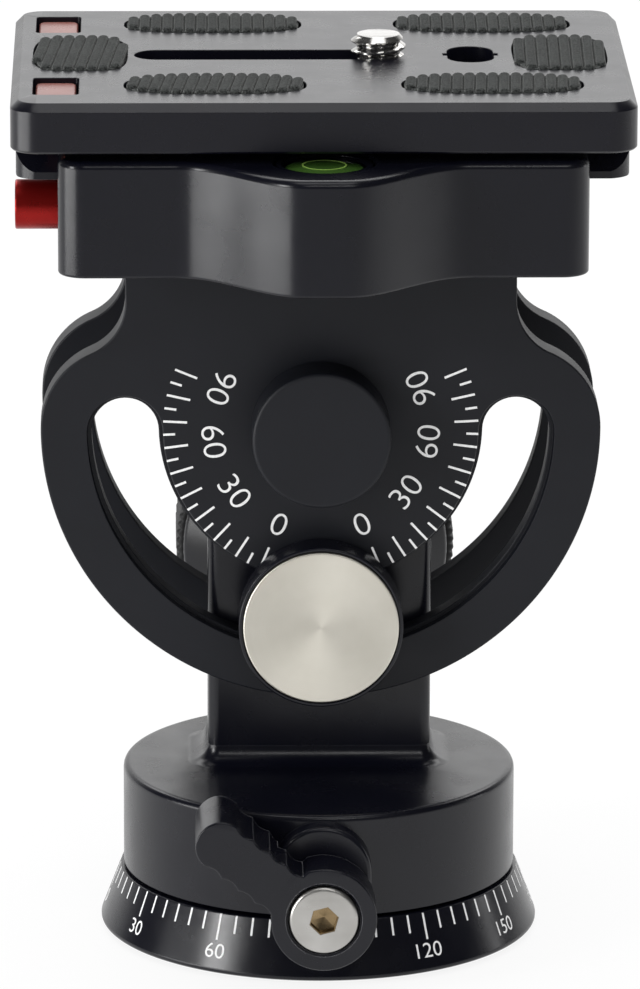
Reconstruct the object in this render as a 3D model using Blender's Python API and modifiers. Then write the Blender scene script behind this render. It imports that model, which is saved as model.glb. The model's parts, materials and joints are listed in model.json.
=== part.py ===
"""Monopod tilt head: a graduated pan base, a drum and post that turn on it, two arc plates that
tilt about the post, a quick release clamp and its camera plate.

Metres, +Z up. The origin is on the pan axis at the underside of the base, and the graduated
front with the bright cap and the pan lever faces -Y.
"""

import math

import bmesh
import bpy
from mathutils import Vector

MM = 0.001

# Clearances and shared small sizes
GAP = 0.3 * MM
OVERRUN = 1.0 * MM
MERGE = 0.00001
EDGE = 0.5 * MM
FINE_EDGE = 0.25 * MM

# Pan base
BASE_RADIUS = 25.1 * MM
BASE_FOOT_RADIUS = 22.9 * MM
BASE_FOOT_HEIGHT = 0.7 * MM
BASE_SHOULDER_RADIUS = 22.75 * MM
BASE_HEIGHT = 7.1 * MM
BASE_FLOOR = 5.0 * MM
SOCKET_RADIUS = 4.35 * MM
SOCKET_CHAMFER = 0.6 * MM
BUSH_RADIUS = 6.5 * MM
BUSH_HEIGHT = 9.3 * MM
SPINDLE_RADIUS = 12.0 * MM
SPINDLE_FLANGE_RADIUS = 15.5 * MM
SPINDLE_TOP = 15.2 * MM
GROOVE_DEPTH = 1.2 * MM
GROOVE_HALF_WIDTH = 1.3 * MM
WASHER_WIDTH = 3.2 * MM
BASE_SCREW_CIRCLE = 10.0 * MM
BASE_SCREW_RADIUS = 1.3 * MM
BASE_SCREW_HEAD_RADIUS = 2.3 * MM
BASE_SCREW_HEAD_HEIGHT = 1.4 * MM
BASE_SCREW_REACH = 8.0 * MM
BASE_SCREW_COUNT = 3

# Drum and post
DRUM_RADIUS = 22.45 * MM
DRUM_TOP = 19.3 * MM
DRUM_EDGE = 0.8 * MM
POST_WIDTH = 25.5 * MM
POST_DEPTH = 11.6 * MM
POST_CORNER = 1.3 * MM
FOOT_FILLET = 2.4 * MM
UPPER_Y = 4.2 * MM
HUB_Z = 60.2 * MM
BOSS_HALF_WIDTH = 5.5 * MM
BOSS_TOP = 18.7 * MM
BOSS_FRONT = 24.9 * MM

# Pan lever, whose outline is measured from its own axis
LEVER_Z = 9.7 * MM
LEVER_BACK = 25.2 * MM
LEVER_FRONT = 30.8 * MM
LEVER_ARM_BACK = 20.6 * MM
LEVER_HUB_RADIUS = 5.95 * MM
LEVER_ARM_ANGLE = math.radians(142)
LEVER_ARM_REACH = 17.2 * MM
LEVER_ARM_WIDTH = 5.8 * MM
LEVER_ARM_DROP = 0.3 * MM
LEVER_ARM_START = 5.0 * MM
LEVER_TIP_RADIUS = 2.8 * MM
LEVER_SCALLOP = 0.55 * MM
LEVER_SCALLOPS = 4
LEVER_KEEP_OUT = 7.4 * MM
LEVER_DRUM_ROOM = 1.2 * MM
LEVER_SCREW_RADIUS = 2.0 * MM
LEVER_SCREW_HEAD_RADIUS = 3.9 * MM
LEVER_SCREW_HEAD_HEIGHT = 2.8 * MM
LEVER_SCREW_PROUD = 0.25 * MM
LEVER_SCREW_REACH = 13.5 * MM
LEVER_HEX = 1.7 * MM
LEVER_HEX_DEPTH = 1.8 * MM
SHOE_RADIUS = 2.4 * MM
SHOE_CONE_RADIUS = 1.0 * MM
SHOE_TIP_RADIUS = 0.3 * MM

# Arc plates
PLATE_THICKNESS = 4.2 * MM
ARC_RADIUS = 31.7 * MM
SLOT_RADIUS = 22.15 * MM
SLOT_HALF_WIDTH = 3.8 * MM
SLOT_END_ANGLE = math.radians(88.6)
SLOT_LEDGE = 0.45 * MM
SLOT_LEDGE_DEPTH = 1.3 * MM
NECK_HALF_WIDTH = 22.1 * MM
NECK_FILLET = 6.5 * MM
NECK_HEIGHT = 20.8 * MM
HUB_CAP_RADIUS = 7.85 * MM
HUB_CAP_HEIGHT = 5.9 * MM
REAR_HUB_CAP_HEIGHT = 2.4 * MM
SHAFT_RADIUS = 3.0 * MM
SHAFT_BUSH_RADIUS = 4.8 * MM
SHAFT_BUSH_LENGTH = 4.5 * MM

# Clamp bolt, its cap and the tilt knob
BOLT_RADIUS = 2.2 * MM
BOLT_HEAD_RADIUS = 4.5 * MM
BOLT_HEAD_HEIGHT = 1.8 * MM
SLEEVE_RADIUS = 3.1 * MM
CAP_RADIUS = 9.35 * MM
CAP_HEIGHT = 4.4 * MM
CAP_DISC_RADIUS = 8.8 * MM
CAP_DISC_THICKNESS = 0.7 * MM
CAP_DISC_PROUD = 0.2 * MM
FRICTION_RADIUS = 6.2 * MM
FRICTION_THICKNESS = 1.0 * MM
THRUST_RADIUS = 7.5 * MM
THRUST_THICKNESS = 1.0 * MM
KNOB_RADIUS = 16.3 * MM
KNOB_RIB_DEPTH = 0.35 * MM
KNOB_RIBS = 48
KNOB_NECK_RADIUS = 9.0 * MM
KNOB_NECK_LENGTH = 2.2 * MM
KNOB_CORE_RADIUS = 14.2 * MM
KNOB_FLARE_LENGTH = 5.2 * MM
KNOB_GRIP_LENGTH = 13.2 * MM
KNOB_FRONT_LIP = 1.0 * MM
KNOB_CAP_RADIUS = 11.0 * MM
KNOB_CAP_THICKNESS = 1.5 * MM

# Quick release clamp
CLAMP_HEIGHT = 13.2 * MM
CLAMP_HALF_LENGTH = 29.4 * MM
CLAMP_CORNER = 3.0 * MM
CLAMP_FRONT = 25.6 * MM
CLAMP_REAR = 15.6 * MM
NOSE_REACH = 9.6 * MM
NOSE_FLAT_HALF_WIDTH = 3.5 * MM
NOSE_HALF_WIDTH = 16.5 * MM
NOSE_STEPS = 8
DOVETAIL_HALF_WIDTH = 19.0 * MM
DOVETAIL_HEIGHT = 4.5 * MM
DOVETAIL_FOOT = 0.8 * MM
DOVETAIL_FLANK = 2.0 * MM
JAW_GAP = 0.4 * MM
JAW_REAR = 26.4 * MM
JAW_PIN_SPACING = 44.0 * MM
JAW_PIN_RADIUS = 1.5 * MM
JAW_PIN_FRONT = 5.0 * MM
JAW_AXIS_HEIGHT = 5.1 * MM
JAW_SPRING_RADIUS = 2.3 * MM
JAW_SPRING_WIRE = 0.35 * MM
JAW_SPRING_LENGTH = 5.6 * MM
JAW_SPRING_CURLS = 4
CLAMP_SCREW_RADIUS = 2.5 * MM
CLAMP_SCREW_REACH = 20.0 * MM
CLAMP_KNOB_RADIUS = 10.5 * MM
CLAMP_KNOB_LENGTH = 11.0 * MM
CLAMP_KNOB_CORE_RADIUS = 8.8 * MM
CLAMP_KNOB_NECK_LENGTH = 2.0 * MM
CLAMP_KNOB_NECK_RADIUS = 6.0 * MM
CLAMP_KNOB_RIBS = 32
LEVEL_Y = 25.4 * MM
LEVEL_RADIUS = 5.4 * MM
LEVEL_WALL = 0.6 * MM
LEVEL_DEPTH = 4.2 * MM
LEVEL_FLOOR = 0.8 * MM
LEVEL_SUNK = 0.2 * MM
BUBBLE_RADIUS = 1.6 * MM
BUBBLE_THICKNESS = 0.4 * MM
BRACKET_SCREW_SPACING = 24.0 * MM
BRACKET_SCREW_RADIUS = 1.25 * MM
BRACKET_SCREW_HEAD_RADIUS = 2.3 * MM
BRACKET_SCREW_HEAD_HEIGHT = 2.4 * MM
BRACKET_SCREW_SUNK = 0.5 * MM
BRACKET_SCREW_LENGTH = 16.0 * MM

# Safety button and pin
BUTTON_Y = 10.7 * MM
BUTTON_RADIUS = 2.8 * MM
BUTTON_PROUD = 5.0 * MM
BUTTON_LENGTH = 14.9 * MM
BUTTON_TRAVEL = 1.5 * MM
BUTTON_WINDOW_WIDTH = 2.8 * MM
BUTTON_SPRING_LENGTH = 3.2 * MM
BUTTON_SPRING_RADIUS = 1.9 * MM
BUTTON_SPRING_WIRE = 0.2 * MM
BUTTON_SPRING_CURLS = 3
PIN_INSET = 5.8 * MM
PIN_RADIUS = 1.0 * MM
PIN_PROUD = 1.2 * MM
PIN_FOOT = 2.5 * MM
PIN_DROP = 1.3 * MM

# Camera plate
SLAB_LENGTH = 69.4 * MM
SLAB_THICKNESS = 5.6 * MM
CLAMP_SLAB_GAP = 1.1 * MM
SLAB_FRONT = 26.4 * MM
SLAB_REAR = 25.2 * MM
SLAB_CORNER = 3.2 * MM
SLAB_EDGE = 0.9 * MM
RAIL_END_INSET = 0.5 * MM
RAIL_CORNER = 3.0 * MM
RECESS_HALF_WIDTH = 8.5 * MM
RECESS_ROOF = 3.3 * MM
RECESS_END_WALL = 2.7 * MM
GROOVE_WIDTH = 2.8 * MM
GROOVE_TRAVEL = 5.0 * MM
STOP_INSET = 5.0 * MM
STOP_Y = 16.6 * MM
STOP_LENGTH = 4.5 * MM
STOP_WIDTH = 8.2 * MM
STOP_HEIGHT = 2.4 * MM
STOP_SUNK = 0.5 * MM
STOP_WINDOW_FLOOR = 3.9 * MM
STOP_STEM_RADIUS = 1.0 * MM
STOP_STEM_PROUD = 0.4 * MM
CAMERA_SLOT_HALF_WIDTH = 2.6 * MM
CAMERA_SLOT_LEFT_INSET = 13.7 * MM
CAMERA_SLOT_RIGHT_INSET = 28.1 * MM
CAMERA_HOLE_INSET = 17.7 * MM
CAMERA_HOLE_RADIUS = 2.6 * MM
CAMERA_HOLE_LENGTH = 8.6 * MM
CAMERA_HOLE_NOTCH = 0.5 * MM
CAMERA_HOLE_NOTCH_WIDTH = 1.2 * MM
CAMERA_SCREW_CORE_RADIUS = 2.35 * MM
CAMERA_SCREW_RADIUS = 3.1 * MM
CAMERA_SCREW_PROUD = 2.45 * MM
CAMERA_SCREW_PITCH = 1.27 * MM
CAMERA_SCREW_HEAD_RADIUS = 6.5 * MM
CAMERA_SCREW_HEAD_HEIGHT = 2.6 * MM
CAMERA_WASHER_RADIUS = 5.2 * MM
CAMERA_WASHER_THICKNESS = 0.8 * MM
COIN_SLOT_WIDTH = 1.4 * MM
COIN_SLOT_DEPTH = 1.1 * MM
PAD_LENGTH = 20.0 * MM
PAD_WIDTH = 10.8 * MM
END_PAD_WIDTH = 10.0 * MM
PAD_LEFT_INSET = 22.7 * MM
PAD_RIGHT_INSET = 15.8 * MM
PAD_Y = 16.4 * MM
END_PAD_INSET = 7.6 * MM
PAD_THICKNESS = 1.4 * MM
PAD_PROUD = 0.5 * MM

# Worked out from the sizes above
BASE_RECESS_RADIUS = SPINDLE_FLANGE_RADIUS + WASHER_WIDTH + 2 * GAP
DRUM_BOTTOM = BASE_HEIGHT + GAP
SPINDLE_BOTTOM = BASE_FLOOR + GAP
CAVITY_RADIUS = SPINDLE_RADIUS + GAP
BOLT_Z = HUB_Z - SLOT_RADIUS
POST_FRONT = UPPER_Y - POST_DEPTH / 2
POST_BACK = UPPER_Y + POST_DEPTH / 2
FRONT_PLATE_BACK = POST_FRONT - GAP
FRONT_FACE = FRONT_PLATE_BACK - PLATE_THICKNESS
REAR_PLATE_FRONT = POST_BACK + GAP
REAR_FACE = REAR_PLATE_FRONT + PLATE_THICKNESS
PLATE_TOP = HUB_Z + NECK_HEIGHT
CLAMP_BOTTOM = PLATE_TOP + GAP
CLAMP_TOP = CLAMP_BOTTOM + CLAMP_HEIGHT
SLAB_BOTTOM = CLAMP_TOP + CLAMP_SLAB_GAP
SLAB_TOP = SLAB_BOTTOM + SLAB_THICKNESS
JAW_AXIS_Z = CLAMP_BOTTOM + JAW_AXIS_HEIGHT
PIN_BOTTOM = CLAMP_BOTTOM + PIN_FOOT
PIN_X = CLAMP_HALF_LENGTH - PIN_INSET
SLAB_HALF_LENGTH = SLAB_LENGTH / 2
RAIL_HALF_LENGTH = SLAB_HALF_LENGTH - RAIL_END_INSET
RECESS_HALF_LENGTH = RAIL_HALF_LENGTH - RECESS_END_WALL
STOP_X = SLAB_HALF_LENGTH - STOP_INSET
CAMERA_SLOT_START = SLAB_HALF_LENGTH - CAMERA_SLOT_LEFT_INSET
CAMERA_SLOT_END = SLAB_HALF_LENGTH - CAMERA_SLOT_RIGHT_INSET
CAMERA_HOLE_X = SLAB_HALF_LENGTH - CAMERA_HOLE_INSET
PAD_X_LEFT = SLAB_HALF_LENGTH - PAD_LEFT_INSET
PAD_X_RIGHT = SLAB_HALF_LENGTH - PAD_RIGHT_INSET
END_PAD_X = SLAB_HALF_LENGTH - END_PAD_INSET
RAIL_BOTTOM = SLAB_BOTTOM - DOVETAIL_HEIGHT
CLAMP_FLOOR = RAIL_BOTTOM - GAP
KNOB_START = REAR_FACE + THRUST_THICKNESS + 2 * GAP
JAW_FRONT = CLAMP_REAR + JAW_GAP

PARTS = "monopod_tilt_head"
CUTTERS = "cutters"


def start():
    """Clears the scene and makes the two collections."""
    for old in list(bpy.data.objects):
        bpy.data.objects.remove(old, do_unlink=True)
    for name in (PARTS, CUTTERS):
        collection = bpy.data.collections.new(name)
        bpy.context.scene.collection.children.link(collection)


def material(name, colour, metallic, roughness):
    """A Principled material in one plain finish."""
    made = bpy.data.materials.new(name)
    made.use_nodes = True
    shader = made.node_tree.nodes["Principled BSDF"]
    shader.inputs["Base Color"].default_value = (*colour, 1)
    shader.inputs["Metallic"].default_value = metallic
    shader.inputs["Roughness"].default_value = roughness
    made.diffuse_color = (*colour, 1)
    return made


def link(obj, finish=None):
    """Puts an object with the parts, or with the cutters when it has no finish."""
    if finish:
        bpy.data.collections[PARTS].objects.link(obj)
        obj.data.materials.clear()
        obj.data.materials.append(finish)
    else:
        bpy.data.collections[CUTTERS].objects.link(obj)
        obj.hide_render = True
        obj.display_type = "WIRE"
    return obj


def from_bmesh(name, shape, finish=None):
    """An object from a finished bmesh, with its faces turned outwards."""
    bmesh.ops.recalc_face_normals(shape, faces=shape.faces)
    mesh = bpy.data.meshes.new(name)
    shape.to_mesh(mesh)
    shape.free()
    return link(bpy.data.objects.new(name, mesh), finish)


def turned(name, profile, finish=None, steps=48):
    """A turned shape about local Z from (radius, height) points that run down the outer side.

    A profile that starts or ends off the axis is closed on itself, which leaves a bore.
    """
    mesh = bpy.data.meshes.new(name)
    verts = [(radius, 0, height) for radius, height in profile]
    edges = [(i, i + 1) for i in range(len(verts) - 1)]
    if profile[0][0] > 0:
        edges.append((len(verts) - 1, 0))
    mesh.from_pydata(verts, edges, [])
    obj = link(bpy.data.objects.new(name, mesh), finish)
    screw = obj.modifiers.new("turn", "SCREW")
    screw.axis = "Z"
    screw.steps = steps
    screw.render_steps = steps
    screw.use_merge_vertices = True
    screw.merge_threshold = MERGE
    screw.use_smooth_shade = False
    return obj


def cylinder(name, radius, low, high, finish=None, steps=48):
    """A plain cylinder about local Z between two heights."""
    return turned(name, [(0, high), (radius, high), (radius, low), (0, low)], finish, steps)


def ring(name, outer, inner, low, high, finish=None, steps=48):
    """A plain ring about local Z between two heights."""
    return turned(name, [(outer, high), (outer, low), (inner, low), (inner, high)], finish, steps)


def box(name, low, high, finish=None):
    """A box between two corners."""
    shape = bmesh.new()
    bmesh.ops.create_cube(shape, size=1)
    size = [b - a for a, b in zip(low, high)]
    middle = [(a + b) / 2 for a, b in zip(low, high)]
    bmesh.ops.scale(shape, vec=size, verts=shape.verts)
    bmesh.ops.translate(shape, vec=middle, verts=shape.verts)
    return from_bmesh(name, shape, finish)


def flat(name, outlines, low, high, finish=None):
    """A flat piece in local XY between two heights. The outlines are the outer one, then holes."""
    curve = bpy.data.curves.new(name, "CURVE")
    curve.dimensions = "2D"
    curve.fill_mode = "BOTH"
    curve.extrude = (high - low) / 2
    for outline in outlines:
        spline = curve.splines.new("POLY")
        spline.points.add(len(outline) - 1)
        for point, (x, y) in zip(spline.points, outline):
            point.co = (x, y, 0, 1)
        spline.use_cyclic_u = True
    guide = bpy.data.objects.new(name, curve)
    bpy.context.scene.collection.objects.link(guide)
    bpy.context.view_layer.update()
    evaluated = guide.evaluated_get(bpy.context.evaluated_depsgraph_get())
    mesh = bpy.data.meshes.new_from_object(evaluated)
    bpy.data.objects.remove(guide, do_unlink=True)
    shape = bmesh.new()
    shape.from_mesh(mesh)
    bmesh.ops.remove_doubles(shape, verts=shape.verts, dist=MERGE)
    if len(outlines) == 1:
        middle = (high - low) / 4
        caps = [f for f in shape.faces if len({v.co.z > middle for v in f.verts}) == 1]
        bmesh.ops.delete(shape, geom=caps, context="FACES")
        rim = [e for e in shape.edges if e.is_boundary]
        bmesh.ops.holes_fill(shape, edges=rim, sides=0)
    bmesh.ops.translate(shape, vec=(0, 0, (low + high) / 2), verts=shape.verts)
    return from_bmesh(name, shape, finish)


def arc(centre, radius, start_angle, end_angle, steps):
    """Points on an arc, both ends included, angles in radians."""
    turn = (end_angle - start_angle) / steps
    angles = [start_angle + turn * i for i in range(steps + 1)]
    return [(centre[0] + radius * math.cos(a), centre[1] + radius * math.sin(a)) for a in angles]


def circle(centre, radius, steps):
    """Points round a circle."""
    return arc(centre, radius, 0, math.tau, steps)[:-1]


def rounded_box(half_x, low_y, high_y, corner, steps=4):
    """The outline of a rectangle with round corners."""
    points = []
    for x, y, quarter in ((1, high_y, 0), (-1, high_y, 1), (-1, low_y, 2), (1, low_y, 3)):
        inward = -corner if y == high_y else corner
        middle = (x * (half_x - corner), y + inward)
        points += arc(middle, corner, quarter * math.pi / 2, (quarter + 1) * math.pi / 2, steps)
    return points


def face(obj, direction, place=(0, 0, 0)):
    """Turns a piece made about local Z so that its Z points along a world axis, and places it."""
    turns = {
        "+X": (0, math.pi / 2, 0),
        "-X": (0, -math.pi / 2, 0),
        "+Y": (-math.pi / 2, 0, 0),
        "-Y": (math.pi / 2, 0, 0),
        "+Z": (0, 0, 0),
        "-Z": (math.pi, 0, 0),
    }
    obj.rotation_euler = turns[direction]
    obj.location = place
    return obj


def combine(obj, other, how):
    """A Boolean with another object, kept as a modifier."""
    modifier = obj.modifiers.new(how.lower(), "BOOLEAN")
    modifier.operation = how
    modifier.object = other
    modifier.solver = "EXACT"
    return obj


def cut(obj, *others):
    """Cuts each of the other objects out of this one."""
    for other in others:
        combine(obj, other, "DIFFERENCE")
    return obj


def join(obj, *others):
    """Adds each of the other objects to this one."""
    for other in others:
        combine(obj, other, "UNION")
    return obj


def round_edges(obj, width, segments=2, angle=math.radians(40)):
    """Bevels the edges sharper than an angle."""
    bevel = obj.modifiers.new("edges", "BEVEL")
    bevel.width = width
    bevel.segments = segments
    bevel.limit_method = "ANGLE"
    bevel.angle_limit = angle
    bevel.use_clamp_overlap = True
    return obj


def coil(name, radius, wire, length, curls, finish):
    """A spring about local Z from zero to its length, as one tube with closed ends."""
    points_per_curl = 9
    curve = bpy.data.curves.new(name, "CURVE")
    curve.dimensions = "3D"
    curve.bevel_depth = wire
    curve.bevel_resolution = 1
    curve.use_fill_caps = True
    spline = curve.splines.new("POLY")
    count = points_per_curl * curls
    spline.points.add(count)
    for i, point in enumerate(spline.points):
        angle = math.tau * i / points_per_curl
        height = wire + (length - 2 * wire) * i / count
        point.co = (radius * math.cos(angle), radius * math.sin(angle), height, 1)
    least_gap = (length - 2 * wire) / curls - 2 * wire
    print(name, "least gap between curls in mm:", round(least_gap / MM, 2))
    return link(bpy.data.objects.new(name, curve), finish)


def hexagon(radius):
    """A hexagon by its corner radius."""
    return circle((0, 0), radius, 6)


def pivot(name, place):
    """An empty on a joint's axis, for the pieces that move there."""
    empty = bpy.data.objects.new(name, None)
    empty.location = place
    empty.empty_display_size = ARC_RADIUS / 4
    bpy.data.collections[PARTS].objects.link(empty)
    return empty


def carry(empty, *objects):
    """Parents pieces to an empty and keeps them where they are."""
    for obj in objects:
        obj.parent = empty
        obj.location = Vector(obj.location) - empty.location


def pan_base(finish):
    """The graduated ring, thread bush, spindle, sliding washer and the screws from below."""
    steps = 48
    profile = [
        (BASE_SHOULDER_RADIUS, BASE_HEIGHT),
        (BASE_RADIUS, BASE_FOOT_HEIGHT),
        (BASE_FOOT_RADIUS, 0),
        (BUSH_RADIUS + GAP, 0),
        (BUSH_RADIUS + GAP, BASE_FLOOR),
        (BASE_RECESS_RADIUS, BASE_FLOOR),
        (BASE_RECESS_RADIUS, BASE_HEIGHT),
    ]
    base_ring = turned("base_ring", profile, finish["black"], steps)

    chamfer_radius = SOCKET_RADIUS + SOCKET_CHAMFER
    profile = [
        (BUSH_RADIUS, BUSH_HEIGHT),
        (BUSH_RADIUS, 0),
        (chamfer_radius, 0),
        (SOCKET_RADIUS, SOCKET_CHAMFER),
        (SOCKET_RADIUS, BUSH_HEIGHT),
    ]
    turned("thread_bush", profile, finish["steel"], 24)

    bush_room = BUSH_RADIUS + GAP
    flange_top = BASE_HEIGHT
    profile = [
        (0, SPINDLE_TOP),
        (SPINDLE_RADIUS, SPINDLE_TOP),
        (SPINDLE_RADIUS, LEVER_Z + GROOVE_HALF_WIDTH),
        (SPINDLE_RADIUS - GROOVE_DEPTH, LEVER_Z),
        (SPINDLE_RADIUS, LEVER_Z - GROOVE_HALF_WIDTH),
        (SPINDLE_RADIUS, flange_top),
        (SPINDLE_FLANGE_RADIUS, flange_top),
        (SPINDLE_FLANGE_RADIUS, SPINDLE_BOTTOM),
        (bush_room, SPINDLE_BOTTOM),
        (bush_room, BUSH_HEIGHT + GAP),
        (0, BUSH_HEIGHT + GAP),
    ]
    spindle = turned("pan_spindle", profile, finish["aluminium"], 32)
    washer_inner = SPINDLE_FLANGE_RADIUS + GAP
    ring(
        "pan_washer", washer_inner + WASHER_WIDTH, washer_inner,
        SPINDLE_BOTTOM, BASE_HEIGHT, finish["polymer"], 32,
    )

    head_top = BASE_SCREW_HEAD_HEIGHT
    profile = [
        (0, BASE_SCREW_REACH),
        (BASE_SCREW_RADIUS, BASE_SCREW_REACH),
        (BASE_SCREW_RADIUS, head_top),
        (BASE_SCREW_HEAD_RADIUS, FINE_EDGE),
        (0, FINE_EDGE),
    ]
    room = [
        (0, BASE_SCREW_REACH + GAP),
        (BASE_SCREW_RADIUS + GAP, BASE_SCREW_REACH + GAP),
        (BASE_SCREW_RADIUS + GAP, head_top + GAP),
        (BASE_SCREW_HEAD_RADIUS + GAP, FINE_EDGE),
        (BASE_SCREW_HEAD_RADIUS + GAP, -OVERRUN),
        (0, -OVERRUN),
    ]
    for number in range(BASE_SCREW_COUNT):
        angle = math.tau * (number / BASE_SCREW_COUNT) + math.pi / 2
        place = (BASE_SCREW_CIRCLE * math.cos(angle), BASE_SCREW_CIRCLE * math.sin(angle), 0)
        screw = face(turned(f"base_screw_{number + 1}", profile, finish["steel"], 12), "+Z", place)
        hollow = face(turned(f"base_screw_room_{number + 1}", room, None, 12), "+Z", place)
        recess = flat(f"base_screw_hex_{number + 1}", [hexagon(BASE_SCREW_RADIUS)], 0, head_top / 2)
        face(recess, "+Z", place)
        cut(screw, recess)
        cut(base_ring, hollow)
        cut(spindle, hollow)


def post_outline():
    """The post from the front: straight sides under a round top about the hub."""
    half = POST_WIDTH / 2
    foot = DRUM_TOP - OVERRUN
    return [(-half, foot), (half, foot)] + arc((0, HUB_Z), half, 0, math.pi, 16)


def foot_fillet(name):
    """The cove between post and drum, as a stack of round-cornered outlines joined side by side."""
    shape = bmesh.new()
    rings = []
    steps = 4
    for step in range(steps):
        angle = math.pi / 2 * step / steps
        spread = FOOT_FILLET * (1 - math.sin(angle))
        height = DRUM_TOP + FOOT_FILLET * (1 - math.cos(angle))
        outline = rounded_box(
            POST_WIDTH / 2 + spread, POST_FRONT - spread, POST_BACK + spread, POST_CORNER + spread
        )
        rings.append([shape.verts.new((x, y, height)) for x, y in outline])
    foot = rounded_box(
        POST_WIDTH / 2 + FOOT_FILLET, POST_FRONT - FOOT_FILLET, POST_BACK + FOOT_FILLET,
        POST_CORNER + FOOT_FILLET,
    )
    rings.insert(0, [shape.verts.new((x, y, DRUM_TOP - OVERRUN)) for x, y in foot])
    inner = rounded_box(POST_WIDTH / 2 - EDGE, POST_FRONT + EDGE, POST_BACK - EDGE, POST_CORNER)
    top = DRUM_TOP + FOOT_FILLET
    rings.append([shape.verts.new((x, y, top)) for x, y in inner])
    count = len(foot)
    for lower, upper in zip(rings, rings[1:]):
        for i in range(count):
            j = (i + 1) % count
            shape.faces.new((lower[i], lower[j], upper[j], upper[i]))
    shape.faces.new(list(reversed(rings[0])))
    shape.faces.new(rings[-1])
    return from_bmesh(name, shape)


def boss_outline(grow=0):
    """The arched boss from the front, with its straight sides down to the drum's lower edge."""
    half = BOSS_HALF_WIDTH + grow
    arch = arc((0, BOSS_TOP - BOSS_HALF_WIDTH), half, 0, math.pi, 12)
    return [(-half, DRUM_BOTTOM - grow), (half, DRUM_BOTTOM - grow)] + arch


def pan_housing(finish):
    """The drum, post and lever boss in one casting, with the parts that it holds."""
    edge_middle = (DRUM_RADIUS - DRUM_EDGE, DRUM_TOP - DRUM_EDGE)
    rounding = arc(edge_middle, DRUM_EDGE, math.pi / 2, 0, 2)
    profile = [(0, DRUM_TOP)] + rounding + [
        (DRUM_RADIUS, DRUM_BOTTOM + FINE_EDGE),
        (DRUM_RADIUS - FINE_EDGE, DRUM_BOTTOM),
        (0, DRUM_BOTTOM),
    ]
    housing = turned("pan_housing", profile, finish["black"], 48)

    post = flat("post_shape", [post_outline()], -POST_BACK, -POST_FRONT)
    face(post, "-Y")
    round_edges(post, POST_CORNER, 2, math.radians(60))
    boss = face(flat("boss_shape", [boss_outline()], DRUM_RADIUS / 2, BOSS_FRONT), "-Y")
    round_edges(boss, EDGE, 1, math.radians(60))
    join(housing, post, foot_fillet("foot_shape"), boss)

    cavity = cylinder(
        "spindle_room", CAVITY_RADIUS, DRUM_BOTTOM - OVERRUN, SPINDLE_TOP + GAP, None, 32
    )
    shoe_bore = cylinder(
        "shoe_bore", SHOE_RADIUS + GAP, SPINDLE_RADIUS / 2, BOSS_FRONT + OVERRUN, None, 16
    )
    face(shoe_bore, "-Y", (0, 0, LEVER_Z))
    shaft_bore = cylinder(
        "shaft_bore", SHAFT_BUSH_RADIUS + GAP, POST_FRONT - OVERRUN, POST_BACK + OVERRUN, None, 24
    )
    face(shaft_bore, "+Y", (0, 0, HUB_Z))
    seat_radius = FRICTION_RADIUS + GAP
    bore_radius = BOLT_RADIUS + GAP
    front_seat = POST_FRONT + FRICTION_THICKNESS + GAP
    rear_seat = POST_BACK - FRICTION_THICKNESS - GAP
    profile = [
        (0, POST_BACK + OVERRUN),
        (seat_radius, POST_BACK + OVERRUN),
        (seat_radius, rear_seat),
        (bore_radius, rear_seat),
        (bore_radius, front_seat),
        (seat_radius, front_seat),
        (seat_radius, POST_FRONT - OVERRUN),
        (0, POST_FRONT - OVERRUN),
    ]
    bolt_room = face(turned("bolt_room", profile, None, 24), "+Y", (0, 0, BOLT_Z))
    cut(housing, cavity, shoe_bore, shaft_bore, bolt_room)
    retainer_room = cylinder(
        "retainer_room", SHOE_RADIUS + GAP, SPINDLE_RADIUS / 2, DRUM_RADIUS + OVERRUN, None, 16
    )
    cut(housing, face(retainer_room, "+Y", (0, 0, LEVER_Z)))

    tip_y = SPINDLE_RADIUS - GROOVE_DEPTH + 2 * GAP
    shoulder_y = SPINDLE_RADIUS + GAP
    cone = [
        (SHOE_RADIUS, shoulder_y),
        (SHOE_CONE_RADIUS, shoulder_y),
        (SHOE_TIP_RADIUS, tip_y),
        (0, tip_y),
    ]
    shoe_end = LEVER_FRONT - LEVER_SCREW_REACH - GAP
    profile = [(0, shoe_end), (SHOE_RADIUS, shoe_end)] + cone
    shoe = face(turned("brake_shoe", profile, finish["brass"], 14), "-Y", (0, 0, LEVER_Z))
    retainer_end = DRUM_RADIUS - EDGE
    profile = [(0, retainer_end), (SHOE_RADIUS, retainer_end)] + cone
    retainer = face(turned("retaining_screw", profile, finish["steel"], 14), "+Y", (0, 0, LEVER_Z))
    recess_floor = retainer_end - SHOE_RADIUS
    recess = flat("retainer_hex", [hexagon(SHOE_RADIUS / 2)], recess_floor, retainer_end + OVERRUN)
    cut(retainer, face(recess, "+Y", (0, 0, LEVER_Z)))

    pieces = [housing, shoe, retainer]
    bush_ends = (
        ("tilt_bush_front", POST_FRONT, POST_FRONT + SHAFT_BUSH_LENGTH),
        ("tilt_bush_rear", POST_BACK - SHAFT_BUSH_LENGTH, POST_BACK),
    )
    for name, low, high in bush_ends:
        bush = ring(name, SHAFT_BUSH_RADIUS, SHAFT_RADIUS + GAP, low, high, finish["brass"], 20)
        pieces.append(face(bush, "+Y", (0, 0, HUB_Z)))
    washer_ends = (
        ("friction_washer_front", POST_FRONT, POST_FRONT + FRICTION_THICKNESS),
        ("friction_washer_rear", POST_BACK - FRICTION_THICKNESS, POST_BACK),
    )
    for name, low, high in washer_ends:
        washer = ring(name, FRICTION_RADIUS, BOLT_RADIUS + GAP, low, high, finish["polymer"], 20)
        pieces.append(face(washer, "+Y", (0, 0, BOLT_Z)))
    return pieces


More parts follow.
